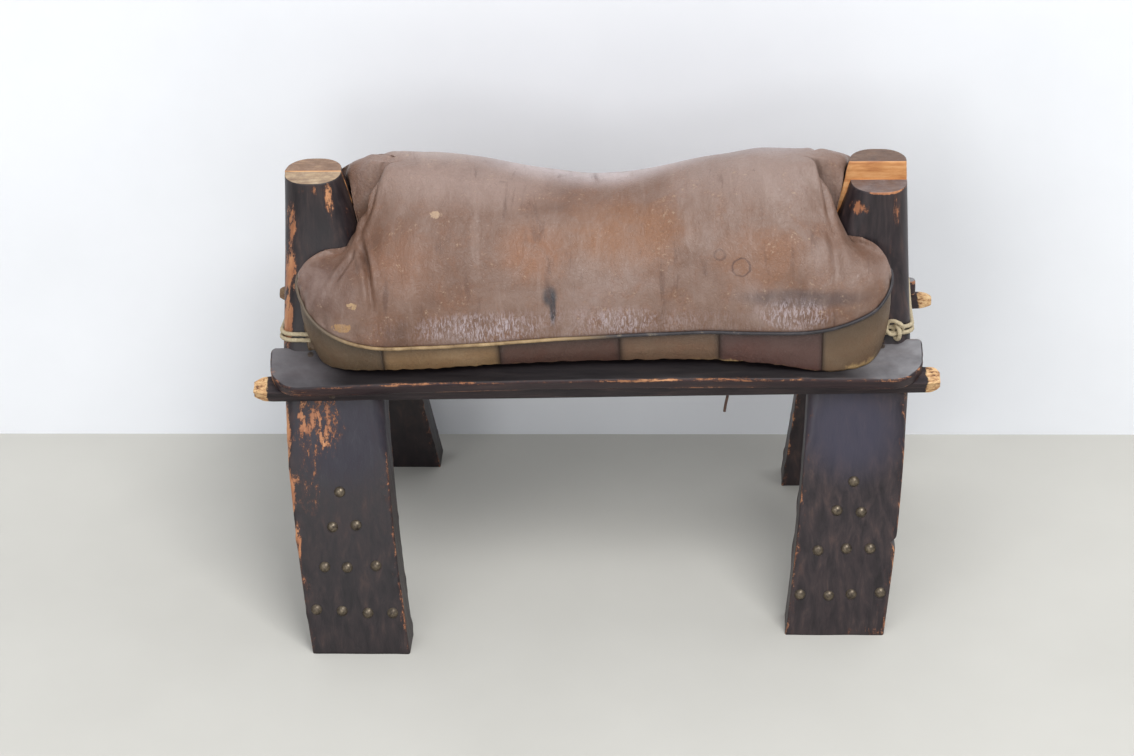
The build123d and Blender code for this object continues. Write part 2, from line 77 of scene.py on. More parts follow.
class Finish:
    """A material and its node tree, built one node at a time."""

    def __init__(self, name):
        self.material = bpy.data.materials.new(name)
        self.material.use_nodes = True
        self.tree = self.material.node_tree
        self.shader = self.tree.nodes["Principled BSDF"]

    def set(self, socket, value):
        """A socket is linked where another one feeds it, and set to a number otherwise."""
        if isinstance(value, bpy.types.NodeSocket):
            self.tree.links.new(value, socket)
        else:
            socket.default_value = value

    def add(self, kind, inputs, **settings):
        """A node of a kind, with its inputs given by name or number and its settings by name."""
        node = self.tree.nodes.new("ShaderNode" + kind)
        for name, value in settings.items():
            setattr(node, name, value)
        for place, value in inputs.items():
            self.set(node.inputs[place], value)
        return node

    def maths(self, operation, first, second=0.0, third=0.0):
        """A sum on up to three numbers, such as MULTIPLY_ADD for first times second plus third."""
        return self.add("Math", {0: first, 1: second, 2: third}, operation=operation).outputs[0]

    def vector(self, operation, first, second=(0, 0, 0)):
        """A sum on two threes of numbers, or the length of one."""
        node = self.add("VectorMath", {0: first, 1: second}, operation=operation)
        return node.outputs["Value" if operation == "LENGTH" else "Vector"]

    def place(self, scale=(1, 1, 1), shift=(0, 0, 0)):
        """The place on the object in metres, stretched and shifted along X, Y and Z."""
        coordinates = self.add("TexCoord", {}).outputs["Object"]
        return self.add("Mapping", {"Vector": coordinates, "Scale": scale, "Location": shift}).outputs[0]

    def along(self, axis):
        """The place on the object along one axis."""
        return self.add("SeparateXYZ", {0: self.place()}).outputs[axis]

    def facing(self, axis):
        """How squarely the surface faces the end of one axis, from -1 to 1."""
        return self.add("SeparateXYZ", {0: self.add("NewGeometry", {}).outputs["Normal"]}).outputs[axis]

    def marked(self, name):
        """A share that the mesh carries at its points under a name."""
        return self.add("Attribute", {}, attribute_name=name).outputs["Fac"]

    def noise(self, vector, scale, detail=6.0, roughness=0.55, distortion=0.0):
        """Cloudy noise from 0 to 1, with a scale of so many clouds a metre."""
        inputs = {"Vector": vector, "Scale": scale, "Detail": detail}
        inputs |= {"Roughness": roughness, "Distortion": distortion}
        return self.add("TexNoise", inputs).outputs[0]

    def step(self, value, low, high, out_low=0.0, out_high=1.0):
        """An even swing from one share to another while a value goes from low to high."""
        inputs = {"Value": value, "From Min": low, "From Max": high, "To Min": out_low, "To Max": out_high}
        return self.add("MapRange", inputs, interpolation_type="SMOOTHSTEP").outputs[0]

    def mix(self, factor, under, over):
        """One colour laid over another by a share; a plain colour is given as seen on a screen."""
        node = self.add("Mix", {"Factor": factor}, data_type="RGBA")
        first_colour, second_colour = node.inputs[6:8]
        self.set(first_colour, under)
        self.set(second_colour, over if isinstance(over, bpy.types.NodeSocket) else srgb(*over))
        return node.outputs[2]

    def ramp(self, value, stops):
        """Colours as seen on a screen, each at its place between 0 and 1."""
        node = self.add("ValToRGB", {"Fac": value})
        elements = node.color_ramp.elements
        while len(elements) < len(stops):
            elements.new(0.5)
        for element, (position, colour) in zip(elements, stops):
            element.position = position
            element.color = srgb(*colour)
        return node.outputs[0]

    def spot(self, centre, reach):
        """One inside an egg-shaped spot, fading to nought at its reach along X, Y and Z."""
        away = self.vector("SUBTRACT", self.place(), centre)
        shares = self.vector("DIVIDE", away, reach)
        return self.step(self.vector("LENGTH", shares), 1.0, 0.35)

    def dents(self, height, strength, distance, below=None):
        """A surface bumped by a height, on top of the bumps given as below."""
        node = self.add("Bump", {"Height": height, "Strength": strength, "Distance": distance})
        if below is not None:
            self.tree.links.new(below, node.inputs["Normal"])
        return node.outputs[0]

    def finish(self, colour, roughness, normal=None, **sockets):
        """The material, with the shader's other sockets given by name and set to plain numbers."""
        self.set(self.shader.inputs["Base Color"], colour)
        self.set(self.shader.inputs["Roughness"], roughness)
        if normal is not None:
            self.set(self.shader.inputs["Normal"], normal)
        for name, value in sockets.items():
            self.shader.inputs[name.replace("_", " ")].default_value = value
        return self.material


sheet_mottle = 7
floor_reach = 6.0
wall_foot = 0.235
wall_height = 4.0
floor_colour = (198, 196, 189)
wall_colour = (246, 248, 252)


def plain_sheet(name, corners, colour):
    """A flat four-cornered sheet of the set, faintly mottled and seen from its front alone."""
    mesh = bpy.data.meshes.new(name)
    mesh.from_pydata(corners, [], [(0, 1, 2, 3)])
    sheet = bpy.data.objects.new(name, mesh)
    bpy.context.scene.collection.objects.link(sheet)
    look = Finish(name)
    mottle = look.noise(look.place(), 3.0, 5.0)
    shade = look.ramp(mottle, [(0.3, [part - sheet_mottle for part in colour]), (0.7, colour)])
    mesh.materials.append(look.finish(shade, 0.8))
    behind = look.add("NewGeometry", {}).outputs["Backfacing"]
    clear = look.add("BsdfTransparent", {}).outputs[0]
    one_sided = look.add("MixShader", {0: behind, 1: look.shader.outputs[0], 2: clear}).outputs[0]
    look.set(look.tree.nodes["Material Output"].inputs["Surface"], one_sided)


plain_sheet(
    "floor",
    [(-floor_reach, -floor_reach, 0), (floor_reach, -floor_reach, 0),
     (floor_reach, floor_reach, 0), (-floor_reach, floor_reach, 0)],
    floor_colour,
)
plain_sheet(
    "backdrop",
    [(-floor_reach, wall_foot, 0), (floor_reach, wall_foot, 0),
     (floor_reach, wall_foot, wall_height), (-floor_reach, wall_foot, wall_height)],
    wall_colour,
)


def soft_light(name, place, aim, size, power):
    """A large square lamp at a place, turned to face its aim."""
    data = bpy.data.lights.new(name, "AREA")
    data.size = size
    data.energy = power
    lamp = bpy.data.objects.new(name, data)
    bpy.context.scene.collection.objects.link(lamp)
    away = Vector(place) - Vector(aim)
    lamp.matrix_world = Matrix.Translation(place) @ away.to_track_quat("Z", "Y").to_matrix().to_4x4()


soft_light("ceiling_light", place=(1.28, -2.1, 4.0), aim=(0, 0, 0.25), size=2.1, power=138)
soft_light("front_light", place=(-1.5, -2.4, 1.9), aim=(0, 0, 0.3), size=1.4, power=18)
soft_light("low_light", place=(-0.5, -2.7, 0.85), aim=(0, 0, 0.33), size=0.6, power=7)
world = bpy.data.worlds.new("room")
world.use_nodes = True
room_light = world.node_tree.nodes["Background"]
room_light.inputs["Color"].default_value = (0.92, 0.95, 1.0, 1.0)
room_light.inputs["Strength"].default_value = 0.55
bpy.context.scene.world = world


# Legs
# Each yoke is two sawn and arched planks of dark-stained hardwood, mitred
# together at the top, where the pair is rounded into a pommel and cut off flat.
leg_width = 0.104
pommel_width = 0.058
belly_reach = 0.326
foot_reach = 0.302
pommel_reach = 0.320
pommel_half_depth = 0.029
board_edge_height = 0.305
shoulder_height = 0.262
chamfer_stop_height = 0.200
crotch_height = 0.400
foot_thickness = 0.038
crotch_thickness = 0.045
arch_share = 0.35
edge_easing = 0.0025
pommel_rounding = 0.025
mitre_easing = 0.0012
most_rounding = 0.46

# The sawn faces ripple a little along the grain, and the edges are nibbled.
leg_rows = 230
leg_side_steps = 22
leg_corner_steps = 9
saw_ripple = 0.0004
nibble_size = 0.012
leg_nibble = 0.0016
leg_edge_reach = 0.006

# A chip is knocked out of the right front leg's outer edge.
chip_height = 0.101
chip_depth = 0.006
chip_reach = 0.0035
chip_length = 0.02


class Yoke:
    """One end of the stool, with the planks' outlines as formulas of height."""

    def __init__(self, name, side, foot_span, board_span, top, slip, setback):
        self.name = name
        self.side = side
        self.foot_span = foot_span
        self.board_span = board_span
        self.top = top
        self.slip = slip
        self.front_setback = setback

    def face_span(self, height):
        """Below the boards a bowed line to the foot; above them a curl up to the pommel."""
        run = self.foot_span - self.board_span
        low_share = 1 - np.minimum(height, board_edge_height) / board_edge_height
        low = self.board_span + run * low_share * (1 + arch_share * (1 - low_share))
        rise = self.top - board_edge_height
        neck = self.board_span - pommel_half_depth
        curl = run * (1 + arch_share) / board_edge_height * rise / neck - 1
        high_share = np.clip((self.top - height) / rise, 0, 1)
        high = pommel_half_depth + neck * high_share * (1 - curl * (1 - high_share))
        return np.where(height <= board_edge_height, low, high)

    def thickness(self, height):
        """Grows evenly from the foot to the crotch."""
        share = np.minimum(height / crotch_height, 1)
        return foot_thickness + (crotch_thickness - foot_thickness) * share

    def outer_reach(self, height):
        """The outer side: drawn in towards the foot, and a little towards the pommel."""
        fall = 1 - np.minimum(height, board_edge_height) / board_edge_height
        rise = np.maximum(height - board_edge_height, 0) / (self.top - board_edge_height)
        return belly_reach - (belly_reach - foot_reach) * fall ** 1.5 - (belly_reach - pommel_reach) * rise

    def width(self, height):
        """The plank's width, which narrows above the shoulder."""
        rise = np.maximum(height - shoulder_height, 0) / (self.top - shoulder_height)
        return leg_width - (leg_width - pommel_width) * rise ** 1.3

    def setback(self, facing, height):
        """The front half of the right pommel is narrower on its inner side."""
        neck = np.maximum(height - crotch_height, 0) / (self.top - crotch_height)
        return self.front_setback * neck * (facing < 0)

    def rounding(self, height):
        """The corner size, which dies out in a stopped chamfer."""
        rise = np.maximum(height - chamfer_stop_height, 0) / (self.top - chamfer_stop_height)
        return edge_easing + (pommel_rounding - edge_easing) * rise ** 0.5


left_yoke = Yoke("left", side=-1, foot_span=0.201, board_span=0.082, top=0.470, slip=0.0, setback=0.0)
right_yoke = Yoke("right", side=1, foot_span=0.163, board_span=0.067, top=0.478, slip=0.020, setback=0.009)
side_names = {-1: "front", 1: "back"}


def ring(low_x, high_x, low_y, high_y, radii, side_steps, corner_steps):
    """
    Closed outlines of rectangles with rounded corners, one row per station.
    A side is an even walk between two arcs, and an arc is centre plus radius
    times the cosine and sine of an even walk through a quarter turn.
    """
    corners = [
        (high_x, low_y, 1, -1), (high_x, high_y, 1, 1), (low_x, high_y, -1, 1), (low_x, low_y, -1, -1),
    ]
    walk = np.linspace(0, 1, corner_steps)
    arcs = []
    for place, (x, y, way_x, way_y) in enumerate(corners):
        angle = (place - 1 + walk) * pi / 2
        radius = radii[place][:, None]
        arc_x = x[:, None] - way_x * radius + radius * np.cos(angle)
        arc_y = y[:, None] - way_y * radius + radius * np.sin(angle)
        arcs.append(np.stack([arc_x, arc_y], -1))
    pieces = []
    steps = np.linspace(0, 1, side_steps + 2)[1:-1][None, :, None]
    for place, arc in enumerate(arcs):
        pieces.append(arc)
        start = arc[:, -1:]
        end = arcs[(place + 1) % 4][:, :1]
        pieces.append(start + (end - start) * steps)
    return np.concatenate(pieces, 1)


def smooth_piece(name, points, faces, marks):
    """A smooth piece from points and faces, with named shares at its points."""
    mesh = bpy.data.meshes.new(name)
    mesh.from_pydata(points.reshape(-1, 3).tolist(), [], faces)
    for key, value in marks.items():
        layer = mesh.attributes.new(key, "FLOAT", "POINT")
        layer.data.foreach_set("value", value.reshape(-1).astype(np.float32))
    mesh.polygons.foreach_set("use_smooth", np.ones(len(mesh.polygons), bool))
    piece = bpy.data.objects.new(name, mesh)
    bpy.context.scene.collection.objects.link(piece)
    return piece


cap_shares = np.array([0.985, 0.94, 0.86, 0.7, 0.5, 0.25, 0.06])[:, None, None]


def skin(name, rows, marks=None, caps=True):
    """
    A mesh from rows of a closed outline: four-cornered faces between the rows,
    and at each end rings drawn in step by step to the middle of the outline.
    """
    marks = marks or {}
    if caps:
        first, last = rows[:1], rows[-1:]
        head = first.mean(1, keepdims=True) + (first - first.mean(1, keepdims=True)) * cap_shares
        tail = last.mean(1, keepdims=True) + (last - last.mean(1, keepdims=True)) * cap_shares
        rows = np.concatenate([head[::-1], rows, tail])
        grow = len(cap_shares)
        marks = {
            key: np.concatenate([np.repeat(value[:1], grow, 0), value, np.repeat(value[-1:], grow, 0)])
            for key, value in marks.items()
        }
    count, around = rows.shape[:2]
    number = np.arange(count * around).reshape(count, around)
    after = np.roll(number, -1, 1)
    quads = np.stack([number[:-1], after[:-1], after[1:], number[1:]], -1).reshape(-1, 4)
    faces = quads.tolist()
    if caps:
        faces += [number[0][::-1].tolist(), number[-1].tolist()]
    return smooth_piece(name, rows, faces, marks)


def ripple(points, size, seed):
    """A smooth uneven field, mostly from -1 to 1: a sum of nine slanted sine waves."""
    chance = np.random.default_rng(seed)
    total = np.zeros(points.shape[:-1])
    for _ in range(9):
        way = chance.normal(size=3)
        way /= np.linalg.norm(way)
        length = size * chance.uniform(0.6, 1.7)
        total += np.sin(points @ way * 2 * pi / length + chance.uniform(0, 2 * pi))
    return total / 9 * 1.8


def outward(rows):
    """The direction square to a surface of rows, from the steps along and around it."""
    along = np.gradient(rows, axis=0)
    around = np.roll(rows, -1, 1) - np.roll(rows, 1, 1)
    square = np.cross(around, along)
    return square / np.maximum(np.linalg.norm(square, axis=-1, keepdims=True), 1e-12)


def leg(yoke, facing, seed):
    """Level outlines at even heights, with sawn ripples and nibbled edges pushed inwards."""
    top = yoke.top - (yoke.slip if facing < 0 else 0)
    height = np.linspace(0, 1, leg_rows) * top
    outer = yoke.outer_reach(height)
    own_width = yoke.width(height) - yoke.setback(facing, height)
    face = yoke.face_span(height)
    back = np.maximum(face - yoke.thickness(height), 0.0)
    rounding = np.minimum(yoke.rounding(height), own_width * most_rounding)
    small = np.full_like(height, mitre_easing)
    radii = [rounding, rounding, small, small]
    shape = ring(back, face, outer - own_width, outer, radii, leg_side_steps, leg_corner_steps)
    depth, across = shape[..., 0], shape[..., 1]
    up_leg = np.repeat(height[:, None], shape.shape[1], 1)
    rows = np.stack([yoke.side * across, facing * depth, up_leg], -1)
    if yoke.side * facing < 0:
        rows = rows[:, ::-1]
    middle = (outer - own_width / 2)[:, None]
    to_side = own_width[:, None] / 2 - np.abs(np.abs(rows[..., 0]) - middle)
    to_face = np.minimum(face[:, None] - np.abs(rows[..., 1]), np.abs(rows[..., 1]) - back[:, None])
    edge = np.exp(-((to_side ** 2 + np.maximum(to_face, 0) ** 2) ** 0.5) / leg_edge_reach)
    nibble = np.clip(ripple(rows * (1, 1, 0.35), nibble_size, seed) - 0.15, 0, 1) * edge
    push = saw_ripple * ripple(rows * (1, 1, 0.25), 0.05, seed + 1) - leg_nibble * nibble
    if yoke.side > 0 and facing < 0:
        low_side = np.clip(1 - to_side / chip_depth, 0, 1) * (np.abs(rows[..., 0]) > middle)
        away = (rows[..., 2] - chip_height) / chip_reach
        by_face = face[:, None] - np.abs(rows[..., 1]) < chip_length
        rows[..., 0] -= low_side * chip_depth * np.exp(-(away ** 2)) * by_face
    rows[..., :2] += (outward(rows) * push[..., None])[..., :2]
    return skin(f"{yoke.name}_{side_names[facing]}_leg_wood", rows, {"edge": edge})


stain_colours = [(0.3, (24, 18, 21)), (0.45, (40, 32, 35)), (0.57, (54, 43, 44)), (0.74, (80, 61, 56))]
raw_colours = [(0.3, (112, 68, 44)), (0.45, (160, 104, 70)), (0.6, (196, 140, 98)), (0.72, (212, 168, 128))]


def stained_wood(name, scale, worn_spots, painted_sheen_spots=(), edge_wear=0.5, shade=0.0):
    """
    A finish of dark stain over hardwood, worn through in scratchy streaks at given
    spots and along the edges, with a painted bluish sheen at given spots and painted
    shade that darkens the whole stain by a share. It is left open, for the piece's own
    marks to go on.
    """
    look = Finish(name)
    fibre = look.noise(look.place(scale), 1.0, 8.0, 0.62, 0.4)
    pores = look.noise(look.place([part * 4 for part in scale]), 1.0, 4.0, 0.7)
    blotch = look.noise(look.place(), 11.0, 6.0, 0.65, 0.5)
    stain = look.ramp(fibre, stain_colours)
    stain = look.mix(look.step(blotch, 0.45, 0.75, 0, 0.5), stain, (36, 27, 31))
    # Painted sheen: a bluish reflection of the bright room, laid into the stain at given spots.
    for centre, reach, colour, share in painted_sheen_spots:
        stain = look.mix(look.maths("MULTIPLY", look.spot(centre, reach), share), stain, colour)
    # Painted shade: the whole stain darkened by a share, for a yoke that stands in shade.
    stain = look.mix(shade, stain, (14, 10, 14))
    raw_grain = look.maths("MULTIPLY_ADD", blotch, 0.4, look.maths("MULTIPLY", fibre, 0.6))
    raw = look.ramp(raw_grain, raw_colours)
    streak = look.noise(look.place([part * 1.5 for part in scale], (3, 5, 7)), 1.0, 9.0, 0.75, 0.2)
    flake = look.noise(look.place(), 170.0, 7.0, 0.8, 0.3)
    worn = look.maths("MULTIPLY", look.marked("edge"), edge_wear)
    for centre, reach, share in worn_spots:
        worn = look.maths("MAXIMUM", worn, look.maths("MULTIPLY", look.spot(centre, reach), share))
    scratch = look.step(streak, 0.34, 0.66, 0.0, 0.54)
    scratch = look.maths("MULTIPLY_ADD", look.step(flake, 0.3, 0.7), 0.30, scratch)
    worn = look.maths("ADD", worn, scratch)
    bare = look.step(worn, 0.94, 1.08)
    look.colour = look.mix(look.step(worn, 0.74, 1.0, 0, 0.6), stain, (80, 48, 38))
    look.colour = look.mix(bare, look.colour, raw)
    look.roughness = look.step(fibre, 0.2, 0.8, 0.36, 0.58)
    bump = look.dents(fibre, 0.5, 0.0006)
    bump = look.dents(pores, 0.35, 0.0003, bump)
    look.bump = look.dents(bare, 0.5, -0.0005, bump)
    return look


def sawn_tops(look, cut_height, colours):
    """Bare end grain on the level cut of a pommel, and long grain on its mitre face."""
    at_top = look.step(look.along("Z"), cut_height, cut_height + 0.004)
    level = look.maths("MULTIPLY", look.step(look.facing("Z"), 0.75, 0.95), at_top)
    rings = look.noise(look.place((60, 240, 60)), 1.0, 6.0, 0.7)
    grime = look.noise(look.place(), 90.0, 5.0, 0.7)
    grain = look.mix(look.step(grime, 0.35, 0.7, 0, 0.6), look.ramp(rings, colours), (104, 78, 62))
    look.colour = look.mix(level, look.colour, grain)
    by_mitre = look.step(look.maths("ABSOLUTE", look.along("Y")), 0.0016, 0.0006)
    above_crotch = look.step(look.along("Z"), crotch_height, crotch_height + 0.01)
    long_grain = look.noise(look.place((26, 260, 150)), 1.0, 6.0, 0.65)
    fresh = look.ramp(long_grain, [(0.3, (168, 106, 62)), (0.5, (206, 146, 92)), (0.7, (226, 176, 124))])
    look.colour = look.mix(look.maths("MULTIPLY", by_mitre, above_crotch), look.colour, fresh)


upright_grain = (110, 110, 6)

# Where the stain is worn off: the middle of each spot, its reach along X, Y and Z,
# and how bare it is.
leg_wear = {
    "left_front": [
        ((-0.327, -0.11, 0.275), (0.011, 0.10, 0.050), 0.90),
        ((-0.325, -0.12, 0.220), (0.011, 0.10, 0.050), 0.90),
        ((-0.321, -0.14, 0.165), (0.011, 0.10, 0.045), 0.85),
        ((-0.315, -0.16, 0.120), (0.009, 0.10, 0.035), 0.70),
        ((-0.290, -0.11, 0.232), (0.040, 0.06, 0.060), 0.53),
        ((-0.300, -0.13, 0.175), (0.030, 0.06, 0.050), 0.38),
        ((-0.321, -0.08, 0.335), (0.012, 0.06, 0.050), 0.85),
        ((-0.318, -0.06, 0.385), (0.014, 0.06, 0.050), 0.75),
        ((-0.313, -0.05, 0.432), (0.013, 0.05, 0.045), 0.65),
        ((-0.272, -0.05, 0.452), (0.009, 0.05, 0.035), 0.62),
        ((-0.256, -0.05, 0.440), (0.006, 0.04, 0.050), 0.55),
        ((-0.290, -0.05, 0.464), (0.050, 0.04, 0.012), 0.40),
    ],
    "left_back": [
        ((-0.322, 0.05, 0.40), (0.020, 0.05, 0.10), 0.5),
        ((-0.318, 0.15, 0.12), (0.012, 0.05, 0.08), 0.4),
    ],
    "right_front": [
        ((0.309, -0.05, 0.436), (0.011, 0.04, 0.035), 0.62),
        ((0.316, -0.15, 0.101), (0.008, 0.05, 0.005), 1.20),
        ((0.270, -0.04, 0.440), (0.018, 0.04, 0.012), 0.66),
        ((0.322, -0.09, 0.250), (0.008, 0.05, 0.060), 0.50),
        ((0.290, -0.14, 0.004), (0.060, 0.06, 0.012), 0.35),
        ((0.300, -0.05, 0.380), (0.030, 0.06, 0.050), 0.22),
        ((0.300, -0.03, 0.4575), (0.030, 0.05, 0.0035), 0.95),
    ],
    "right_back": [((0.322, 0.05, 0.40), (0.012, 0.05, 0.06), 0.4)],
}
sawn_colours = {
    "left_front": [(0.3, (140, 112, 84)), (0.55, (178, 152, 120)), (0.75, (202, 182, 152))],
    "left_back": [(0.3, (112, 84, 66)), (0.55, (142, 112, 88)), (0.75, (168, 140, 112))],
    "right_front": [(0.3, (96, 85, 85)), (0.55, (120, 108, 106)), (0.75, (146, 136, 132))],
    "right_back": [(0.3, (74, 54, 46)), (0.55, (104, 80, 66)), (0.75, (140, 112, 90))],
}
# Painted sheen: a bluish reflection on the upper part of each leg, under the board.
painted_sheen_tint = {"left": (42, 39, 56), "right": (56, 54, 70)}
# Painted shade: the left yoke's stain is darkened all over by this share.
painted_leg_shade = {"left": 0.36, "right": 0.0}
for yoke in (left_yoke, right_yoke):
    for place, (facing, facing_name) in enumerate(side_names.items()):
        key = f"{yoke.name}_{facing_name}"
        piece = leg(yoke, facing, 11 + 7 * place + 3 * (yoke.side > 0))
        under_board = (yoke.side * 0.265, facing * 0.12, 0.225)
        blue = [(under_board, (0.075, 0.09, 0.075), painted_sheen_tint[yoke.name], 0.8)]
        look = stained_wood(
            f"{key}_leg_stain", upright_grain, leg_wear[key], blue, shade=painted_leg_shade[yoke.name]
        )
        cut_height = yoke.top - (yoke.slip if facing < 0 else 0) - 0.006
        sawn_tops(look, cut_height, sawn_colours[key])
        wood = look.finish(look.colour, look.roughness, look.bump, Specular_IOR_Level=0.45)
        piece.data.materials.append(wood)
        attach(piece, "frame")
        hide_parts(f"{key}_leg")


# Side boards
# Two planks lie down the slope on either side, nailed into seats cut in the
# legs. Their front corners are round and their front edge is slightly hollow.
board_length = 0.676
board_width = 0.054
board_thickness = 0.016
board_scoop = 0.005
board_front_corner = 0.032
board_back_corner = 0.006
board_edge_rounding = 0.003
board_seat_depth = 0.005
board_tilt = radians(24)
board_rows = 300
board_nibble = 0.0012
board_edge_reach = 0.003
board_mean_span = (left_yoke.board_span + right_yoke.board_span) / 2
board_skew = np.arctan2(left_yoke.board_span - right_yoke.board_span, 2 * belly_reach - leg_width)


def in_board_frame(points, facing):
    """Points given along, across and above a board, tilted down its slope and turned to its side."""
    turn = Matrix.Rotation((pi if facing > 0 else 0) - facing * board_skew, 3, "Z")
    tilt = Matrix.Rotation(board_tilt, 3, "X")
    edge = np.array([0, facing * (board_mean_span - board_seat_depth), board_edge_height])
    return points @ np.array(turn @ tilt).T + edge


def even_out(count, crowd):
    """A walk from -1 to 1 whose steps are short near both ends."""
    walk = np.linspace(-1, 1, count)
    return walk * (1 - crowd) + np.sin(walk * pi / 2) * crowd


def board_plan(x):
    """A board's back and front edges at a place: quarter circles at the corners, a hollow between."""
    half = board_length / 2
    back_reach = np.maximum(np.abs(x) - (half - board_back_corner), 0)
    back = -board_back_corner + np.sqrt(np.maximum(board_back_corner ** 2 - back_reach ** 2, 0))
    straight = half - board_front_corner
    front_reach = np.maximum(np.abs(x) - straight, 0)
    rounded = board_front_corner - np.sqrt(np.maximum(board_front_corner ** 2 - front_reach ** 2, 0))
    hollow = board_scoop * np.maximum(1 - (x / straight) ** 2, 0)
    return back, -board_width + rounded + hollow


def side_board(facing, seed):
    """Outlines across the board at places along it, thinned in a quarter circle at both ends."""
    x = even_out(board_rows, 0.85) * (board_length / 2 - 0.0002)
    back, front = board_plan(x)
    end_gap = np.minimum(board_length / 2 - np.abs(x), board_edge_rounding) / board_edge_rounding
    half = board_thickness / 2 - board_edge_rounding * (1 - np.sqrt(1 - (1 - end_gap) ** 2))
    middle = -board_thickness / 2
    rounding = np.full_like(x, board_edge_rounding)
    shape = ring(
        front, back, middle - half, middle + half, [rounding] * 4, side_steps=26, corner_steps=7
    )
    rows = np.stack([np.repeat(x[:, None], shape.shape[1], 1), shape[..., 0], shape[..., 1]], -1)
    to_edge = np.abs(np.abs(rows[..., 2] - middle) - half[:, None]) + np.minimum(
        np.abs(rows[..., 1] - front[:, None]), np.abs(rows[..., 1] - back[:, None])
    )
    edge = np.exp(-to_edge / board_edge_reach)
    nibble = np.clip(ripple(rows * (0.35, 1, 1), nibble_size, seed) - 0.1, 0, 1) * edge
    push = saw_ripple * ripple(rows * (0.2, 1, 1), 0.05, seed + 1) - board_nibble * nibble
    rows = rows + outward(rows) * push[..., None]
    return skin(f"{side_names[facing]}_board_wood", in_board_frame(rows, facing), {"edge": edge})


def dusty_board(name, facing):
    """The board's stain, rubbed grey with dust on its sloping top and bare along its edges,
    with painted shade on the faces that turn away from above and a painted shadow under the cushion.
    """
    worn = [
        ((-0.336, facing * 0.100, 0.280), (0.014, 0.050, 0.030), 0.60),
        ((-0.310, facing * 0.122, 0.270), (0.050, 0.010, 0.020), 0.42),
        ((-0.290, facing * 0.119, 0.262), (0.090, 0.008, 0.006), 0.55),
        ((0.200, facing * 0.119, 0.264), (0.100, 0.008, 0.006), 0.40),
    ]
    look = stained_wood(name, (9, 90, 90), worn, edge_wear=0.88)
    cloud = look.noise(look.place((1, 1.6, 1)), 14.0, 6.0, 0.6)
    to_end = look.step(look.maths("ABSOLUTE", look.along("X")), 0.25, 0.31)
    on_top = look.step(look.facing("Z"), 0.75, 0.88)
    dust = look.maths("MULTIPLY", on_top, look.step(cloud, 0.3, 0.62, 0.55, 1.0))
    dust = look.maths("MULTIPLY", look.maths("MULTIPLY", dust, to_end), 0.9)
    grey = look.ramp(cloud, [(0.3, (112, 110, 113)), (0.7, (150, 149, 151))])
    grey = look.mix(look.step(look.along("X"), 0.1, -0.2, 0.0, 0.6), grey, (74, 69, 72))
    # Painted shade: faces that turn away from above, the front edge among them, are darkened towards
    # purple-black.
    look.colour = look.mix(look.step(look.facing("Z"), 0.6, 0.2, 0.0, 0.3), look.colour, (48, 24, 30))
    # Painted shadow: the top between the dusty ends, under and beside the cushion, is darkened almost to
    # black.
    painted_cushion_shadow = look.maths("MULTIPLY", look.maths("SUBTRACT", 1.0, to_end), 0.8)
    painted_cushion_shadow = look.maths("MULTIPLY", painted_cushion_shadow, on_top)
    look.colour = look.mix(painted_cushion_shadow, look.colour, (13, 10, 13))
    look.colour = look.mix(dust, look.colour, grey)
    return look.finish(look.colour, look.roughness, look.bump, Specular_IOR_Level=0.35)


for facing, facing_name in side_names.items():
    piece = side_board(facing, 40 + facing)
    piece.data.materials.append(dusty_board(f"{facing_name}_board_stain", facing))
    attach(piece, "frame")
    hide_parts(f"{facing_name}_board")


# Rails
# Square rails run under the boards and stick out at both ends, where they are
# hacked off and splintered down to pale raw wood.
rail_length = 0.712
rail_width = 0.022
rail_depth = 0.017
rail_setback = 0.002
rail_taper_length = 0.014
rail_tip_share = 0.6
rail_rounding = 0.0015
rail_rows = 360
chewed_from = 0.336
chew_depth = 0.0008
rail_ripple = 0.0002
rail_middle_y = -board_width + board_scoop + rail_setback + rail_width / 2


def side_rail(facing, seed):
    """Outlines across the rail, drawn in at the tips, with hacked ends pushed about."""
    x = even_out(rail_rows, 0.9) * rail_length / 2
    tip = np.clip((np.abs(x) - (rail_length / 2 - rail_taper_length)) / rail_taper_length, 0, 1)
    share = 1 - (1 - rail_tip_share) * tip ** 2.4
    middle_z = -board_thickness - rail_depth / 2
    half_y, half_z = rail_width / 2 * share, rail_depth / 2 * share
    rounding = np.minimum(np.full_like(x, rail_rounding), half_z * 0.6)
    shape = ring(
        rail_middle_y - half_y, rail_middle_y + half_y, middle_z - half_z, middle_z + half_z,
        [rounding] * 4, side_steps=9, corner_steps=5,
    )
    rows = np.stack([np.repeat(x[:, None], shape.shape[1], 1), shape[..., 0], shape[..., 1]], -1)
    chewed = np.clip((np.abs(rows[..., 0]) - chewed_from) / rail_taper_length, 0, 1)
    rough = ripple(rows * (0.35, 1, 1), nibble_size, seed)
    rough += 0.4 * ripple(rows * (0.5, 1, 1), nibble_size / 2, seed + 1)
    push = rail_ripple * ripple(rows * (0.2, 1, 1), 0.03, seed + 2) - chew_depth * chewed * (0.5 - rough)
    rows = rows + outward(rows) * push[..., None]
    edge = np.clip(chewed * 1.2, 0, 1)
    return skin(f"{side_names[facing]}_rail_wood", in_board_frame(rows, facing), {"edge": edge})


torn_colours = [
    (0.36, (84, 54, 40)), (0.44, (176, 130, 88)), (0.54, (214, 176, 128)), (0.75, (230, 204, 160)),
]
old_break = {"front": 0.0, "back": 0.75}


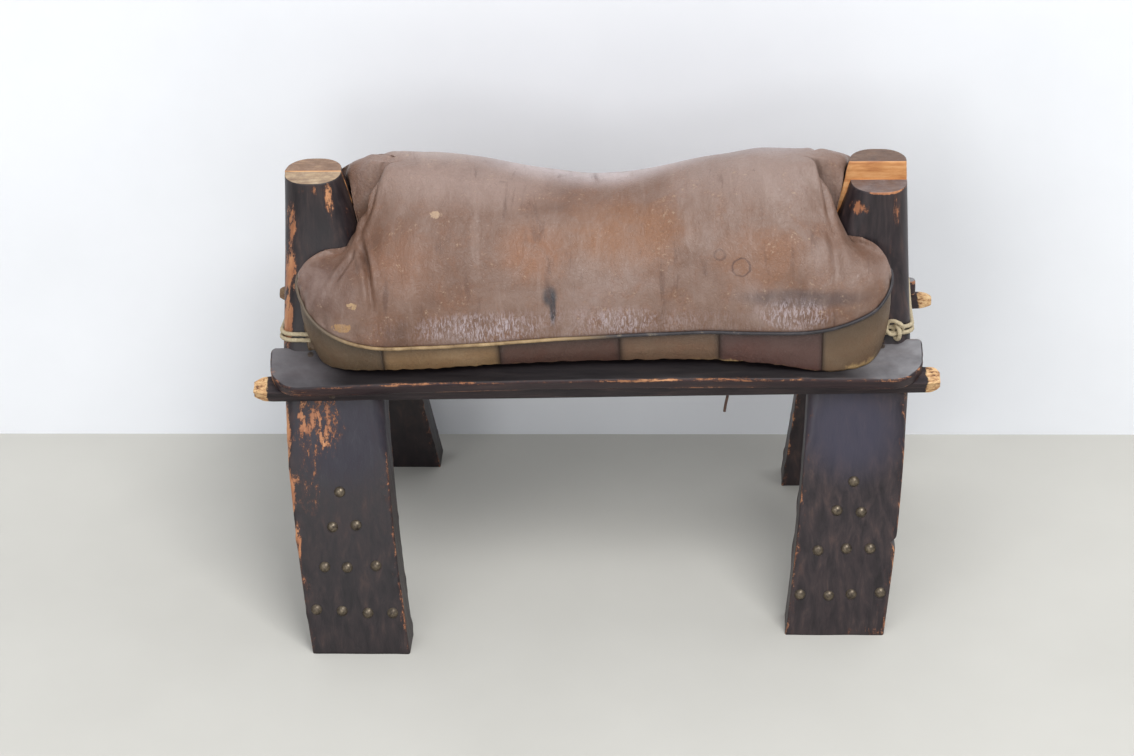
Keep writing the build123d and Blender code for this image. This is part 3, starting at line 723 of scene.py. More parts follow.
def hacked_rail(name, age):
    """Stain on the rail's length, and pale torn fibres at its tips, which age browns at the left."""
    look = stained_wood(name, (14, 160, 160), [], edge_wear=0.0)
    fibre = look.noise(look.place((0.35, 1, 1)), 330.0, 6.0, 0.7, 0.5)
    torn = look.ramp(fibre, torn_colours)
    patch = look.noise(look.place(), 75.0, 5.0, 0.7)
    bare = look.step(look.maths("ADD", look.marked("edge"), look.maths("MULTIPLY", patch, 1.1)), 0.98, 1.12)
    torn = look.mix(look.step(look.along("X"), -0.30, -0.33, 0.0, age), torn, (84, 64, 54))
    look.colour = look.mix(bare, look.colour, torn)
    bump = look.dents(fibre, 0.6, 0.0008, look.bump)
    return look.finish(look.colour, 0.7, bump, Specular_IOR_Level=0.4)


for facing, facing_name in side_names.items():
    piece = side_rail(facing, 60 + facing)
    piece.data.materials.append(hacked_rail(f"{facing_name}_rail_stain", old_break[facing_name]))
    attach(piece, "frame")
    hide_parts(f"{facing_name}_rail")


# Studs, nails and pegs
# Domed furniture studs, gone dull and brown, are driven into each leg; the
# nails and the tack are plain iron and the hidden pegs are raw hardwood.
def old_metal(name, dark, light, roughness):
    """Metal with tarnish in blotches, rougher where it is darker."""
    look = Finish(name)
    blotch = look.noise(look.place(), 220.0, 5.0, 0.65)
    colour = look.ramp(blotch, [(0.3, dark), (0.7, light)])
    rough = look.step(blotch, 0.3, 0.7, roughness + 0.12, roughness)
    bump = look.dents(blotch, 0.25, 0.0003)
    return look.finish(colour, rough, bump, Metallic=0.75)


stud_metal = old_metal("tarnished_studs", (58, 50, 46), (128, 116, 98), 0.34)
nail_metal = old_metal("dull_iron", (62, 50, 44), (110, 100, 92), 0.5)
look = Finish("raw_peg")
fibre = look.noise(look.place((200, 20, 200)), 1.0, 6.0)
peg_colour = look.ramp(fibre, [(0.3, (170, 120, 76)), (0.7, (206, 160, 112))])
raw_peg = look.finish(peg_colour, 0.6, look.dents(fibre, 0.3, 0.0004))

fixings = {"studs": stud_metal, "nails": nail_metal, "tack": nail_metal, "pegs": raw_peg}
for node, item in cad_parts.items():
    kind = node.split("_")[-1]
    if kind in fixings:
        item.data.materials.clear()
        item.data.materials.append(fixings[kind])


# Lace
# A short thong of dry leather hangs under the front rail, where a small iron
# tack holds its upper end to the wood. Its points are in millimetres from there.
lace_points = [(0, 0.5, -1.1), (0, 3.1, -7.0), (-0.7, 2.9, -14.2), (-2.5, 1.9, -21.3), (-3.7, 2.8, -31.2)]
lace_diameter = 0.003
lace_share = 0.385
lace_place = np.array([[lace_share * rail_length / 2, rail_middle_y, -board_thickness - rail_depth]])
lace_seat = in_board_frame(lace_place, -1)[0]
lace_curve = bpy.data.curves.new("lace_thong", "CURVE")
lace_curve.dimensions = "3D"
lace_line = lace_curve.splines.new("NURBS")
lace_line.points.add(len(lace_points) - 1)
for point, offset in zip(lace_line.points, lace_points):
    point.co = (*(lace_seat + np.array(offset) / 1000).tolist(), 1)
lace_line.order_u = 3
lace_line.use_endpoint_u = True
lace_line.resolution_u = 16
lace_curve.bevel_depth = lace_diameter / 2
lace_curve.bevel_resolution = 4
lace_curve.use_fill_caps = True
lace = bpy.data.objects.new("lace_thong", lace_curve)
bpy.context.scene.collection.objects.link(lace)
look = Finish("dry_thong")
grain = look.noise(look.place(), 500.0, 5.0)
lace_colour = look.ramp(grain, [(0.3, (52, 34, 28)), (0.7, (96, 66, 50))])
lace_curve.materials.append(look.finish(lace_colour, 0.65, look.dents(grain, 0.5, 0.0005)))
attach(lace, "frame")
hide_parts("lace")


# Cushion cover
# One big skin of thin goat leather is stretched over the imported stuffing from
# seam to seam, and is cut and gathered round both pommels.
cushion_low = 0.450
left_rise = 0.028
right_rise = 0.031
rise_run = 0.190
ridge_y = 0.012
wall_room = 0.0012
over_pommel = 0.012
drop_reach = 0.50
broad_wave, broad_wave_length = 0.0012, 0.09
small_wave, small_wave_length = 0.0006, 0.03
seam_gather = 0.0022
hem_turn = 0.002
hem_level = 0.325
seam_shadow = 0.0022
ridge_weld = 0.00005
cover_around = 1040
cover_steps = 92

# The cover's outline on plan, clockwise from the middle of the front, each with
# the height of the seam, the drop of the crown there, the squareness of the roll,
# the place on the ridge that it is drawn from, all in millimetres but the
# squareness, and the share of the way out where the drop begins.
left_front_outline = [
    (-60, -109, 331, 0, 1.8, -62, 0.1), (-120, -114, 329, 0, 1.8, -125, 0.1),
    (-175, -119, 328, 4, 1.8, -165, 0.1), (-222, -121, 329, 28, 2.0, -184, 0.12),
    (-258, -117, 336, 56, 2.4, -192, 0.14), (-284, -106, 349, 70, 2.8, -194, 0.15),
    (-299, -88, 368, 77, 3.2, -195, 0.15), (-303, -72, 383, 80, 4, -195, 0.12),
    (-296, -57, 382, 76, 6, -195, 0.12), (-280, -47, 364, 74, 8, -195, 0.10),
    (-264, -36, 350, 80, 9, -197, 0.08), (-264, -18, 340, 76, 9, -200, 0.20),
]
left_back_outline = [
    (-264, 20, 340, 8, 9, -200, 0.40), (-264, 40, 350, 12, 9, -197, 0.38),
    (-280, 50, 364, 26, 8, -195, 0.30), (-296, 58, 380, 46, 6, -195, 0.18),
    (-303, 72, 380, 50, 4, -195, 0.15), (-299, 88, 366, 50, 3.2, -195, 0.15),
    (-284, 106, 348, 44, 2.8, -194, 0.15), (-258, 117, 335, 32, 2.4, -192, 0.14),
    (-222, 121, 329, 14, 2.2, -184, 0.12), (-175, 119, 328, 0, 2.1, -165, 0.1),
    (-120, 114, 329, 0, 2.1, -125, 0.1), (-60, 109, 331, 0, 2.1, -62, 0.1),
]
right_back_outline = [
    (60, 103, 335, 0, 2.1, 62, 0.1), (120, 102, 336, 0, 2.1, 125, 0.1),
    (175, 105, 337, 0, 2.1, 172, 0.1), (222, 107, 338, 10, 2.2, 196, 0.12),
    (258, 103, 345, 26, 2.4, 205, 0.14), (284, 93, 355, 38, 2.8, 207, 0.15),
    (299, 77, 370, 42, 3.2, 208, 0.15), (303, 64, 380, 42, 4, 208, 0.15),
    (296, 52, 378, 36, 6, 208, 0.18), (280, 45, 362, 18, 8, 208, 0.30),
    (266, 36, 350, 8, 9, 209, 0.38), (265, 18, 342, 4, 9, 211, 0.40),
]
right_front_outline = [
    (265, -18, 342, 64, 9, 211, 0.20), (266, -34, 350, 78, 9, 209, 0.08),
    (280, -44, 364, 70, 8, 208, 0.10), (296, -52, 382, 70, 6, 208, 0.12),
    (303, -64, 384, 76, 4, 208, 0.12), (300, -80, 372, 72, 3.2, 208, 0.15),
    (286, -95, 357, 60, 2.8, 207, 0.15), (258, -104, 346, 44, 2.4, 205, 0.14),
    (222, -107, 339, 20, 2.0, 196, 0.12), (175, -105, 337, 4, 1.8, 172, 0.1),
    (120, -102, 336, 0, 1.8, 125, 0.1), (60, -103, 335, 0, 1.8, 62, 0.1),
]
front_middle = (0, -105.5, 333, 0, 1.8, 0, 0.1)
left_notch = (-262, 0, 338, 32, 9, -202, 0.42)
back_middle = (0, 105.5, 333, 0, 2.1, 0, 0.1)
right_notch = (264, 0, 340, 18, 9, 212, 0.42)
outline_table = np.array(
    [front_middle] + left_front_outline + [left_notch] + left_back_outline
    + [back_middle] + right_back_outline + [right_notch] + right_front_outline
)


def closed_curve(table, count):
    """A smooth closed walk through the rows of a table, by cubics that share slopes at each row."""
    position = np.arange(count) / count * len(table)
    whole = position.astype(int)
    t = (position - whole)[:, None]
    before, start, end, after = (table[(whole + shift) % len(table)] for shift in (-1, 0, 1, 2))
    return 0.5 * (
        2 * start + (end - before) * t + (2 * before - 5 * start + 4 * end - after) * t ** 2
        + (3 * start - before - 3 * end + after) * t ** 3
    )


outline = closed_curve(outline_table, cover_around)

# The places on the ridge run straight between the table's rows, the same on the
# front as on the back, so that both sides meet along it.
table_rows = len(outline_table)
walk = np.arange(cover_around) / cover_around * table_rows
ridge_places = np.append(outline_table[:, 5], outline_table[0, 5])
outline[:, 5] = np.interp(walk, np.arange(table_rows + 1), ridge_places)
outline[:, [0, 1, 2, 3, 5]] /= 1000


def smooth_share(value, low, high):
    """Nought below the low value, one above the high one, and an even swing between."""
    share = np.clip((value - low) / (high - low), 0, 1)
    return share * share * (3 - 2 * share)


def crown(x):
    """The ridge's height: low in the middle, with an even swell up to both ends."""
    return cushion_low + np.where(x < 0, left_rise, right_rise) * smooth_share(np.abs(x), 0, rise_run)


def clear_of_pommels(points, room):
    """
    Points that lie inside a yoke, or nearer than a small room to it, are moved
    level and straight away from its section, a rectangle with rounded corners.
    """
    moved = points.copy()
    for yoke in (left_yoke, right_yoke):
        x, y, z = moved[..., 0], moved[..., 1], moved[..., 2]
        level = np.minimum(z, yoke.top)
        corner = np.minimum(yoke.rounding(level), yoke.width(level) * most_rounding)
        past_side = yoke.outer_reach(level) - yoke.width(level) + corner - yoke.side * x
        past_face = np.abs(y) - yoke.face_span(level) + corner
        beyond = np.hypot(np.maximum(past_side, 0), np.maximum(past_face, 0))
        distance = beyond + np.minimum(np.maximum(past_side, past_face), 0) - corner
        short = np.maximum(room - distance, 0) * (z < yoke.top + over_pommel)
        in_corner = (past_side > 0) & (past_face > 0)
        safe = np.maximum(beyond, 1e-9)
        way_x = np.where(in_corner, past_side / safe, past_side > past_face)
        way_y = np.where(in_corner, past_face / safe, past_side <= past_face)
        moved[..., 0] = x - yoke.side * way_x * short
        moved[..., 1] = y + np.sign(y) * way_y * short
    return moved


def crease(points, start, end, width, depth):
    """A valley along a line on plan: a bell of the distance from it, fading to both ends."""
    start, end = np.array(start), np.array(end)
    line = end - start
    share = ((points[..., :2] - start) @ line) / (line @ line)
    near = start + np.clip(share, 0, 1)[..., None] * line
    away = np.linalg.norm(points[..., :2] - near, axis=-1)
    fade = np.sin(np.clip(share, 0.02, 0.98) * pi) ** 0.5
    lip = 0.35 * np.exp(-((away - 1.9 * width) / width) ** 2)
    return -depth * fade * (np.exp(-(away / width) ** 2) - lip)


# Each fold of the cover runs from one place on plan to another, and has a width
# and a depth. They gather by the pommels.
creases = [
    ((-0.240, -0.050), (-0.224, -0.112), 0.0030, 0.0075),
    ((-0.240, -0.046), (-0.232, -0.004), 0.0026, 0.0032),
    ((-0.238, -0.046), (-0.216, -0.006), 0.0036, 0.0024),
    ((-0.244, -0.042), (-0.252, -0.016), 0.0022, 0.0014),
    ((-0.246, -0.056), (-0.264, -0.094), 0.0030, 0.0036),
    ((-0.236, -0.052), (-0.190, -0.056), 0.0050, 0.0010),
    ((-0.238, -0.046), (-0.205, 0.030), 0.0030, 0.0016),
    ((0.244, -0.052), (0.250, -0.098), 0.0055, 0.0036),
    ((0.244, -0.046), (0.230, -0.004), 0.0034, 0.0034),
    ((0.238, -0.044), (0.204, -0.016), 0.0040, 0.0014),
    ((0.240, -0.026), (0.226, 0.006), 0.0030, 0.0012),
    ((-0.240, 0.052), (-0.226, 0.106), 0.0036, 0.0055),
    ((-0.248, 0.058), (-0.264, 0.094), 0.0035, 0.0034),
    ((-0.238, 0.046), (-0.222, 0.022), 0.0036, 0.0018),
    ((0.244, 0.050), (0.250, 0.098), 0.0040, 0.0055),
    ((0.238, 0.044), (0.224, 0.024), 0.0036, 0.0016),
]


def cover_rows():
    """
    Rays from the ridge to the outline. Along a ray the plan share and the height
    share lie on a superellipse, whose power is the squareness of the roll, and the
    crown above it gives way to the drop over the middle of the ray.
    """
    turn = np.linspace(pi / 2, 0, cover_steps)[:, None]
    power = outline[:, 4][None, :]
    size = (np.cos(turn) ** power + np.sin(turn) ** power) ** (-1 / power)
    plan_share = np.clip(np.cos(turn), 0, 1) * size
    plan_share[0] = 0
    height_share = np.clip(np.sin(turn), 0, 1) * size
    ridge = np.stack([outline[:, 5], np.full(cover_around, ridge_y)], -1)
    plan = ridge + (outline[:, :2] - ridge) * plan_share[..., None]
    fall_start = outline[:, 6][None, :]
    fall = smooth_share(plan_share, fall_start, fall_start + drop_reach)
    top = crown(outline[:, 5]) - outline[:, 3] * fall
    height = outline[:, 2] + (top - outline[:, 2]) * height_share
    rows = np.concatenate([plan, height[..., None]], -1)
    rows = clear_of_pommels(rows, wall_room)
    lift = broad_wave * ripple(rows, broad_wave_length, 5) + small_wave * ripple(rows, small_wave_length, 6)
    for start, end, width, depth in creases:
        lift = lift + crease(rows, start, end, width, depth)
    around = np.arange(cover_around) / cover_around
    gather = ripple(np.stack([around * 2.2, around * 0, around * 0], -1), 0.018, 8)
    near_seam = np.clip(1 - height_share / 0.7, 0, 1) * np.clip(height_share / 0.10, 0, 1)
    lift = lift + seam_gather * gather[None, :] * near_seam
    from_ridge = np.clip(plan_share * 6, 0, 1)[..., None]
    way = np.array([0, 0, 1]) * (1 - from_ridge) + outward(rows) * from_ridge
    rows = rows + way * lift[..., None]
    return clear_of_pommels(rows, wall_room * 0.7)


cover = cover_rows()
hem_steps = np.linspace(0.985, 0.0, 9)[:, None, None]
middle_line = np.stack(
    [outline[:, 5], np.full(cover_around, ridge_y), np.full(cover_around, hem_level)], -1
)
hem_edge = cover[-1] - (0, 0, hem_turn)
underside = middle_line + (hem_edge - middle_line) * hem_steps
# Painted shadow: a share that is one at the seam and on the turned-under hem, and falls off above the seam.
from_seam = np.exp(-(np.linalg.norm(cover - cover[-1:], axis=-1) / seam_shadow) ** 2)
seam = np.concatenate([from_seam, np.ones(underside.shape[:2])])
cover_piece = skin("cushion_cover_leather", np.concatenate([cover, underside]), {"seam": seam}, caps=False)
closed_ridge = cover_piece.modifiers.new("closed_ridge", "WELD")
closed_ridge.merge_threshold = ridge_weld


def old_leather(name, base_stops, ruddy, worn=(), stains=(), gloss=0.34):
    """
    Thin old leather: cloudy colour, fine wrinkles that catch the light, and scuffs
    and stains at given places. It is left open, for the piece's own marks to go on.
    """
    look = Finish(name)
    cloud = look.noise(look.place(), 6.0, 7.0, 0.62, 0.6)
    mottle = look.noise(look.place(), 34.0, 7.0, 0.68, 0.5)
    pores = look.noise(look.place(), 1100.0, 3.0, 0.6)
    creped = look.add(
        "TexVoronoi", {"Vector": look.place((1, 1.3, 1)), "Scale": 230.0, "Randomness": 1.0},
        feature="DISTANCE_TO_EDGE",
    ).outputs["Distance"]
    wrinkle = look.noise(look.place((1.0, 0.8, 0.6)), 150.0, 6.0, 0.72, 1.6)
    sag = look.noise(look.place((1.4, 0.8, 0.8)), 38.0, 4.0, 0.5, 0.8)
    colour = look.ramp(cloud, base_stops)
    colour = look.mix(look.step(mottle, 0.42, 0.72, 0.0, 0.55), colour, ruddy)
    for centre, reach, tint, share in stains:
        stain = look.maths("MULTIPLY", look.spot(centre, reach), share)
        stain = look.maths("MULTIPLY", stain, look.step(mottle, 0.25, 0.6, 0.45, 1.0))
        colour = look.mix(stain, colour, tint)
    for centre, reach, tint in worn:
        scuff = look.maths("MULTIPLY", look.spot(centre, reach), 0.62)
        scuff = look.maths("MULTIPLY_ADD", wrinkle, 1.1, scuff)
        colour = look.mix(look.step(scuff, 1.02, 1.16), colour, tint)
    dark_lines = look.step(creped, 0.05, 0.0, 0.0, 0.28)
    dark_lines = look.maths("MULTIPLY", dark_lines, look.step(mottle, 0.4, 0.6))
    look.colour = look.mix(dark_lines, colour, (52, 36, 30))
    look.mottle = mottle
    look.roughness = look.step(mottle, 0.3, 0.7, gloss, gloss + 0.16)
    bump = look.dents(sag, 0.5, 0.0036)
    bump = look.dents(wrinkle, 0.5, 0.0020, bump)
    bump = look.dents(look.step(creped, 0.0, 0.16), 0.2, 0.0005, bump)
    look.bump = look.dents(pores, 0.2, 0.0002, bump)
    return look


top_stops = [(0.3, (82, 56, 42)), (0.44, (109, 80, 64)), (0.56, (125, 100, 87)), (0.7, (142, 122, 114))]

# Faded, dusty, dark and oiled places: the middle of each, its reach along X, Y and
# Z, its colour and its share.
cover_stains = [
    ((-0.12, 0.00, 0.475), (0.16, 0.08, 0.05), (152, 131, 122), 0.7),
    ((0.16, 0.00, 0.48), (0.12, 0.07, 0.06), (144, 124, 115), 0.65),
    ((0.0, 0.06, 0.450), (0.22, 0.07, 0.05), (188, 175, 174), 0.95),
    ((-0.18, 0.05, 0.468), (0.08, 0.05, 0.04), (172, 155, 148), 0.8),
    ((0.19, 0.05, 0.470), (0.09, 0.05, 0.04), (156, 143, 142), 0.8),
    ((-0.275, -0.09, 0.38), (0.05, 0.05, 0.05), (90, 63, 52), 0.75),
    ((0.215, -0.098, 0.374), (0.085, 0.02, 0.013), (84, 70, 68), 0.8),
    ((-0.0435, -0.101, 0.3755), (0.010, 0.03, 0.014), (44, 46, 52), 1.0),
    ((-0.0405, -0.104, 0.362), (0.0045, 0.03, 0.020), (32, 32, 40), 1.0),
    ((0.03, -0.06, 0.43), (0.09, 0.05, 0.05), (136, 92, 60), 0.65),
    ((-0.06, -0.075, 0.42), (0.05, 0.04, 0.05), (134, 88, 57), 0.7),
    ((-0.19, -0.085, 0.40), (0.05, 0.04, 0.05), (126, 84, 58), 0.6),
    ((0.17, -0.08, 0.41), (0.06, 0.04, 0.04), (130, 87, 58), 0.65),
]

# Scuffs down to raw leather: the middle of each, its reach and its colour.
cover_scuffs = [
    ((-0.256, -0.1165, 0.3495), (0.018, 0.02, 0.009), (160, 124, 84)),
    ((-0.245, -0.1115, 0.372), (0.012, 0.02, 0.006), (166, 136, 100)),
    ((-0.16, -0.06, 0.448), (0.016, 0.02, 0.006), (166, 138, 112)),
]

# Where use has polished the front roll, and where highlights are painted on it: the
# middle of each place, its reach and its share.
polish_and_highlight_spots = [
    ((-0.115, -0.114, 0.346), (0.090, 0.04, 0.022), 1.0),
    ((0.030, -0.105, 0.349), (0.055, 0.04, 0.020), 0.75),
    ((0.205, -0.102, 0.357), (0.050, 0.04, 0.022), 0.9),
    ((-0.020, -0.106, 0.346), (0.300, 0.04, 0.024), 0.3),
]


def ring_stain(look, centre, radius, width, share):
    """The dark tide mark of a drop that dried: a band at one distance from a point on plan."""
    distance = look.vector("LENGTH", look.vector("SUBTRACT", look.place(), centre))
    wobble = look.maths("MULTIPLY", look.noise(look.place(), 150.0, 4.0), width * 3.2)
    off = look.maths("SUBTRACT", look.maths("ADD", distance, wobble), radius + width * 1.6)
    band = look.step(look.maths("ABSOLUTE", off), width, width * 0.2, 0.0, share)
    band = look.maths("MULTIPLY", band, look.step(look.mottle, 0.3, 0.55, 0.45, 1.0))
    look.colour = look.mix(band, look.colour, (74, 48, 42))


def top_leather():
    """The cover's leather: streaks down its sides, tide marks, flecks, a polished roll with painted
    highlights, and painted shadow along the seam and on the hem.
    """
    look = old_leather("goat_leather_top", top_stops, (120, 78, 52), cover_scuffs, cover_stains)
    streaks = look.noise(look.place((4.2, 0.9, 0.9)), 13.0, 7.0, 0.66, 0.4)
    look.colour = look.mix(look.step(streaks, 0.43, 0.30, 0.0, 0.5), look.colour, (78, 50, 38))
    look.colour = look.mix(look.step(streaks, 0.52, 0.72, 0.0, 0.28), look.colour, (154, 134, 124))
    ring_stain(look, (0.129, -0.0835, 0.4157), 0.0080, 0.0011, 0.6)
    ring_stain(look, (0.151, -0.0903, 0.4045), 0.0105, 0.0012, 0.75)
    flecks = look.noise(look.place((1, 1.4, 1)), 210.0, 5.0, 0.75)
    fleck_share = look.maths("MULTIPLY_ADD", look.mottle, 0.5, look.maths("MULTIPLY", flecks, 0.8))
    look.colour = look.mix(look.step(fleck_share, 0.74, 0.84, 0.0, 0.55), look.colour, (172, 148, 124))
    polish_and_highlight = 0.0
    for centre, reach, share in polish_and_highlight_spots:
        spot = look.maths("MULTIPLY", look.spot(centre, reach), share)
        polish_and_highlight = look.maths("MAXIMUM", polish_and_highlight, spot)
    polish_and_highlight = look.maths("MULTIPLY", polish_and_highlight, look.step(look.mottle, 0.36, 0.52, 0.35, 1.0))
    look.roughness = look.maths("SUBTRACT", look.roughness, look.maths("MULTIPLY", polish_and_highlight, 0.14))
    crinkle = look.noise(look.place((2.6, 1, 0.7)), 190.0, 5.0, 0.7, 0.8)
    look.bump = look.dents(crinkle, look.maths("MULTIPLY", polish_and_highlight, 0.8), 0.0020, look.bump)
    # Painted highlight: pale crinkled glints laid into the colour on the polished roll.
    glints = look.maths("MULTIPLY", look.step(crinkle, 0.44, 0.62), polish_and_highlight)
    look.colour = look.mix(look.maths("MULTIPLY", glints, 0.8), look.colour, (186, 172, 176))
    # Painted shadow: dark along the seam under the roll, and on the whole turned-under hem.
    look.colour = look.mix(look.maths("MULTIPLY", look.marked("seam"), 0.75), look.colour, (36, 26, 24))
    return look.finish(look.colour, look.roughness, look.bump, Specular_IOR_Level=0.55)


cover_piece.data.materials.append(top_leather())
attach(cover_piece, "cushion")
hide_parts("cushion_top_panel", "cushion_filling")


# Side band
# The band under the seam is pieced from offcuts of leather, sewn end to end; its
# lower edge is turned in under the cushion and rides a little above the boards.
band_joins = (-0.216, -0.095, 0.026, 0.128, 0.233)
band_length = 0.606
left_lean = 0.010
right_lean = 0.004
end_pull_from = 0.270
end_pull_to = 0.303
end_draw_in = 0.006
band_bulge = 0.0030
join_dip = 0.0011
band_tuck = 0.016
band_float = 0.0075
least_float = 0.001
float_middle = -0.02
float_full_to = 0.19
float_ends_at = 0.275
hem_ragged = 0.0009
band_thickness = 0.0016
band_steps = 26


def board_height(x, y):
    """The height of what the cushion lies on: flat between the boards, falling along them."""
    edge_y = board_mean_span - board_seat_depth + np.tan(board_skew) * -x
    return board_edge_height - np.tan(board_tilt) * np.maximum(np.abs(y) - edge_y, 0)


def band_rows(pick):
    """Rows from the seam down a shallow bow to the foot, then in under the cushion."""
    x, y, seam_z = outline[pick, 0], outline[pick, 1], cover[-1, pick, 2]
    share = np.linspace(0, 1, band_steps)[:, None]
    inward = -np.sign(y) * (left_lean + (right_lean - left_lean) * (x / band_length + 0.5))
    foot_y = y + inward
    end_pull = smooth_share(np.abs(x), end_pull_from, end_pull_to)
    foot_x = x - np.sign(x) * end_draw_in * end_pull
    from_middle = np.abs(x - float_middle)
    lifted = band_float * smooth_share(-from_middle, -float_ends_at, -float_full_to) + least_float
    ragged = hem_ragged * ripple(np.stack([x, y, y * 0], -1), 0.02, 31)
    foot_z = board_height(foot_x, foot_y) + lifted + ragged
    bow = band_bulge * np.sin(share * pi)
    last = len(pick) - 1
    from_join = np.minimum(np.arange(last + 1), last - np.arange(last + 1))
    bow = bow - join_dip * np.exp(-((from_join / 1.2) ** 2))[None, :] * np.sin(share * pi) ** 0.3
    side = np.stack([
        x + (foot_x - x) * share + np.sign(x) * bow * end_pull,
        y + (foot_y - y) * share + np.sign(y) * bow,
        seam_z + (foot_z - seam_z) * share,
    ], -1)
    tuck_share = np.linspace(0.08, 1, 6)[:, None]
    tuck_y = foot_y - np.sign(y) * band_tuck * tuck_share
    tuck_z = np.maximum(board_height(foot_x, tuck_y) + 0.0008, foot_z - 0.0004)
    tuck = np.stack([foot_x + tuck_share * 0, tuck_y, tuck_z], -1)
    return clear_of_pommels(np.concatenate([side, tuck]), wall_room)


def strip(name, rows, thickness, marks=None):
    """An open sheet of rows, thickened inwards and with its edges closed."""
    count, wide = rows.shape[:2]
    number = np.arange(count * wide).reshape(count, wide)
    quads = np.stack([number[:-1, :-1], number[:-1, 1:], number[1:, 1:], number[1:, :-1]], -1)
    piece = smooth_piece(name, rows, quads.reshape(-1, 4).tolist(), marks or {})
    wall = piece.modifiers.new("leather_thickness", "SOLIDIFY")
    wall.thickness = thickness
    wall.offset = -1
    return piece


def outline_mark(x, facing):
    """The number of the outline's point, on one side of the stool, whose X is nearest to a value."""
    off_side = facing * outline[:, 1] < 0.09
    return int(np.argmin(np.abs(outline[:, 0] - x) + off_side))


def outline_corner(x, y):
    """The number of the outline's point that is nearest to a place."""
    return int(np.argmin(np.hypot(outline[:, 0] - x, outline[:, 1] - y)))


band_tones = {
    1: (94, 76, 56), 2: (126, 99, 68), 3: (80, 55, 46), 4: (108, 84, 65), 5: (86, 60, 54), 6: (106, 85, 64),
}

# The hems of the two patches at the right are torn to raw leather.
torn_share = {number: 0.9 if number > 4 else 0.2 for number in band_tones}
for facing, facing_name in side_names.items():
    left_corner = outline_corner(-0.264, facing * 0.038)
    right_corner = outline_corner(0.266, facing * 0.035)
    marks = [left_corner] + [outline_mark(x, facing) for x in band_joins] + [right_corner]
    for number in band_tones:
        start, end = (marks[number - 1], marks[number])[::facing]
        pick = np.arange(start, end + 1 + (cover_around if end < start else 0)) % cover_around
        rows = band_rows(pick)
        hem = np.repeat(np.clip(np.arange(len(rows)) / (band_steps - 1), 0, 1)[:, None], len(pick), 1)
        join = np.minimum(np.arange(len(pick)), len(pick) - 1 - np.arange(len(pick)))
        join = np.repeat(np.exp(-((join / 1.3) ** 2))[None, :], len(rows), 0)
        marks_on = {"hem": hem, "join": join}
        piece = strip(f"{facing_name}_band_patch_{number}", rows, band_thickness, marks_on)
        tone = np.array(band_tones[number])
        stops = [(0.3, tone - 14), (0.5, tone), (0.72, tone + 18)]
        tint = tuple((tone + (6, -4, -6)).tolist())
        look = old_leather(f"{facing_name}_band_leather_{number}", stops, tint, gloss=0.42)
        foot = look.marked("hem")
        fray = look.noise(look.place((1, 1, 0.4)), 160.0, 6.0, 0.7)
        shade = look.step(foot, 0.55, 0.05, 0.0, 0.6)
        look.colour = look.mix(shade, look.colour, tone * 0.55)
        stretch = look.step(look.noise(look.place(), 24.0, 3.0), 0.5, 0.6, 0.0, 0.14)
        torn = look.maths("ADD", look.maths("MULTIPLY_ADD", fray, 0.5, foot), stretch)
        torn = look.step(torn, 1.24, 1.38, 0.0, torn_share[number])
        look.colour = look.mix(torn, look.colour, (170, 140, 96))
        stitched = look.maths("MULTIPLY", look.marked("join"), 0.7)
        look.colour = look.mix(stitched, look.colour, (40, 30, 26))
        leather = look.finish(look.colour, look.roughness, look.bump, Specular_IOR_Level=0.5)
        piece.data.materials.append(leather)
        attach(piece, "cushion")
        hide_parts(f"{facing_name}_band_{number}")


# Bottom panel
# A coarse leather panel closes the cushion underneath and sags a little between
# the boards.
panel_length = 0.444
panel_width = 0.168
panel_taper = 0.020
panel_thickness = 0.0012
panel_sag = 0.0015
panel_sag_reach = 0.06
panel_x = np.linspace(-panel_length / 2, panel_length / 2, 90)[:, None]
panel_share = np.linspace(-1, 1, 70)[None, :]
panel_y = (panel_width / 2 - panel_taper * panel_x) * panel_share
sag = panel_sag * np.clip(1 - (panel_y / panel_sag_reach) ** 2, 0, 1)
panel_z = board_height(panel_x, panel_y) + panel_thickness - sag
panel_rows = np.stack([panel_x + panel_y * 0, panel_y, panel_z], -1)
bottom_piece = strip("cushion_bottom_leather", panel_rows[::-1], panel_thickness)
bottom_stops = [(0.3, (84, 66, 52)), (0.5, (102, 80, 62)), (0.72, (118, 96, 76))]
look = old_leather("under_leather", bottom_stops, (100, 76, 58), gloss=0.55)
bottom_piece.data.materials.append(look.finish(look.colour, look.roughness, look.bump))
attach(bottom_piece, "cushion")
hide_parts("cushion_bottom_panel")


# Piping
# A narrow folded strip is sewn into the seam all round; it is pale and bare on
# the left and blue-black on the right.
piping_radius = 0.0018
piping_outside = 0.0012


def tube(name, line, radius, around=12, closed=False, twist=0.0, lobes=0, depth=0.0):
    """
    Circles carried along a line, on two directions square to it. Lobes swell the
    circle and turn along the line like laid strands.
    """
    way = np.gradient(line, axis=0) if not closed else np.roll(line, -1, 0) - np.roll(line, 1, 0)
    way /= np.linalg.norm(way, axis=1, keepdims=True)
    side = np.cross(way, (0.02, 0.01, 1.0))
    side /= np.linalg.norm(side, axis=1, keepdims=True)
    over = np.cross(side, way)
    angle = np.linspace(0, 2 * pi, around, endpoint=False)[None, :]
    length = np.concatenate([[0], np.cumsum(np.linalg.norm(np.diff(line, axis=0), axis=1))])[:, None]
    strand = 1 - np.abs(np.cos((angle * lobes + length * twist) / 2)) if lobes else angle * 0
    swell = np.broadcast_to(radius * (1 - depth * strand), (len(line), around))[..., None]
    circle = np.cos(angle)[..., None] * side[:, None] + np.sin(angle)[..., None] * over[:, None]
    rows = line[:, None] + swell * circle
    if closed:
        rows = np.concatenate([rows, rows[:1]])
        return skin(name, rows, caps=False)
    return skin(name, rows)


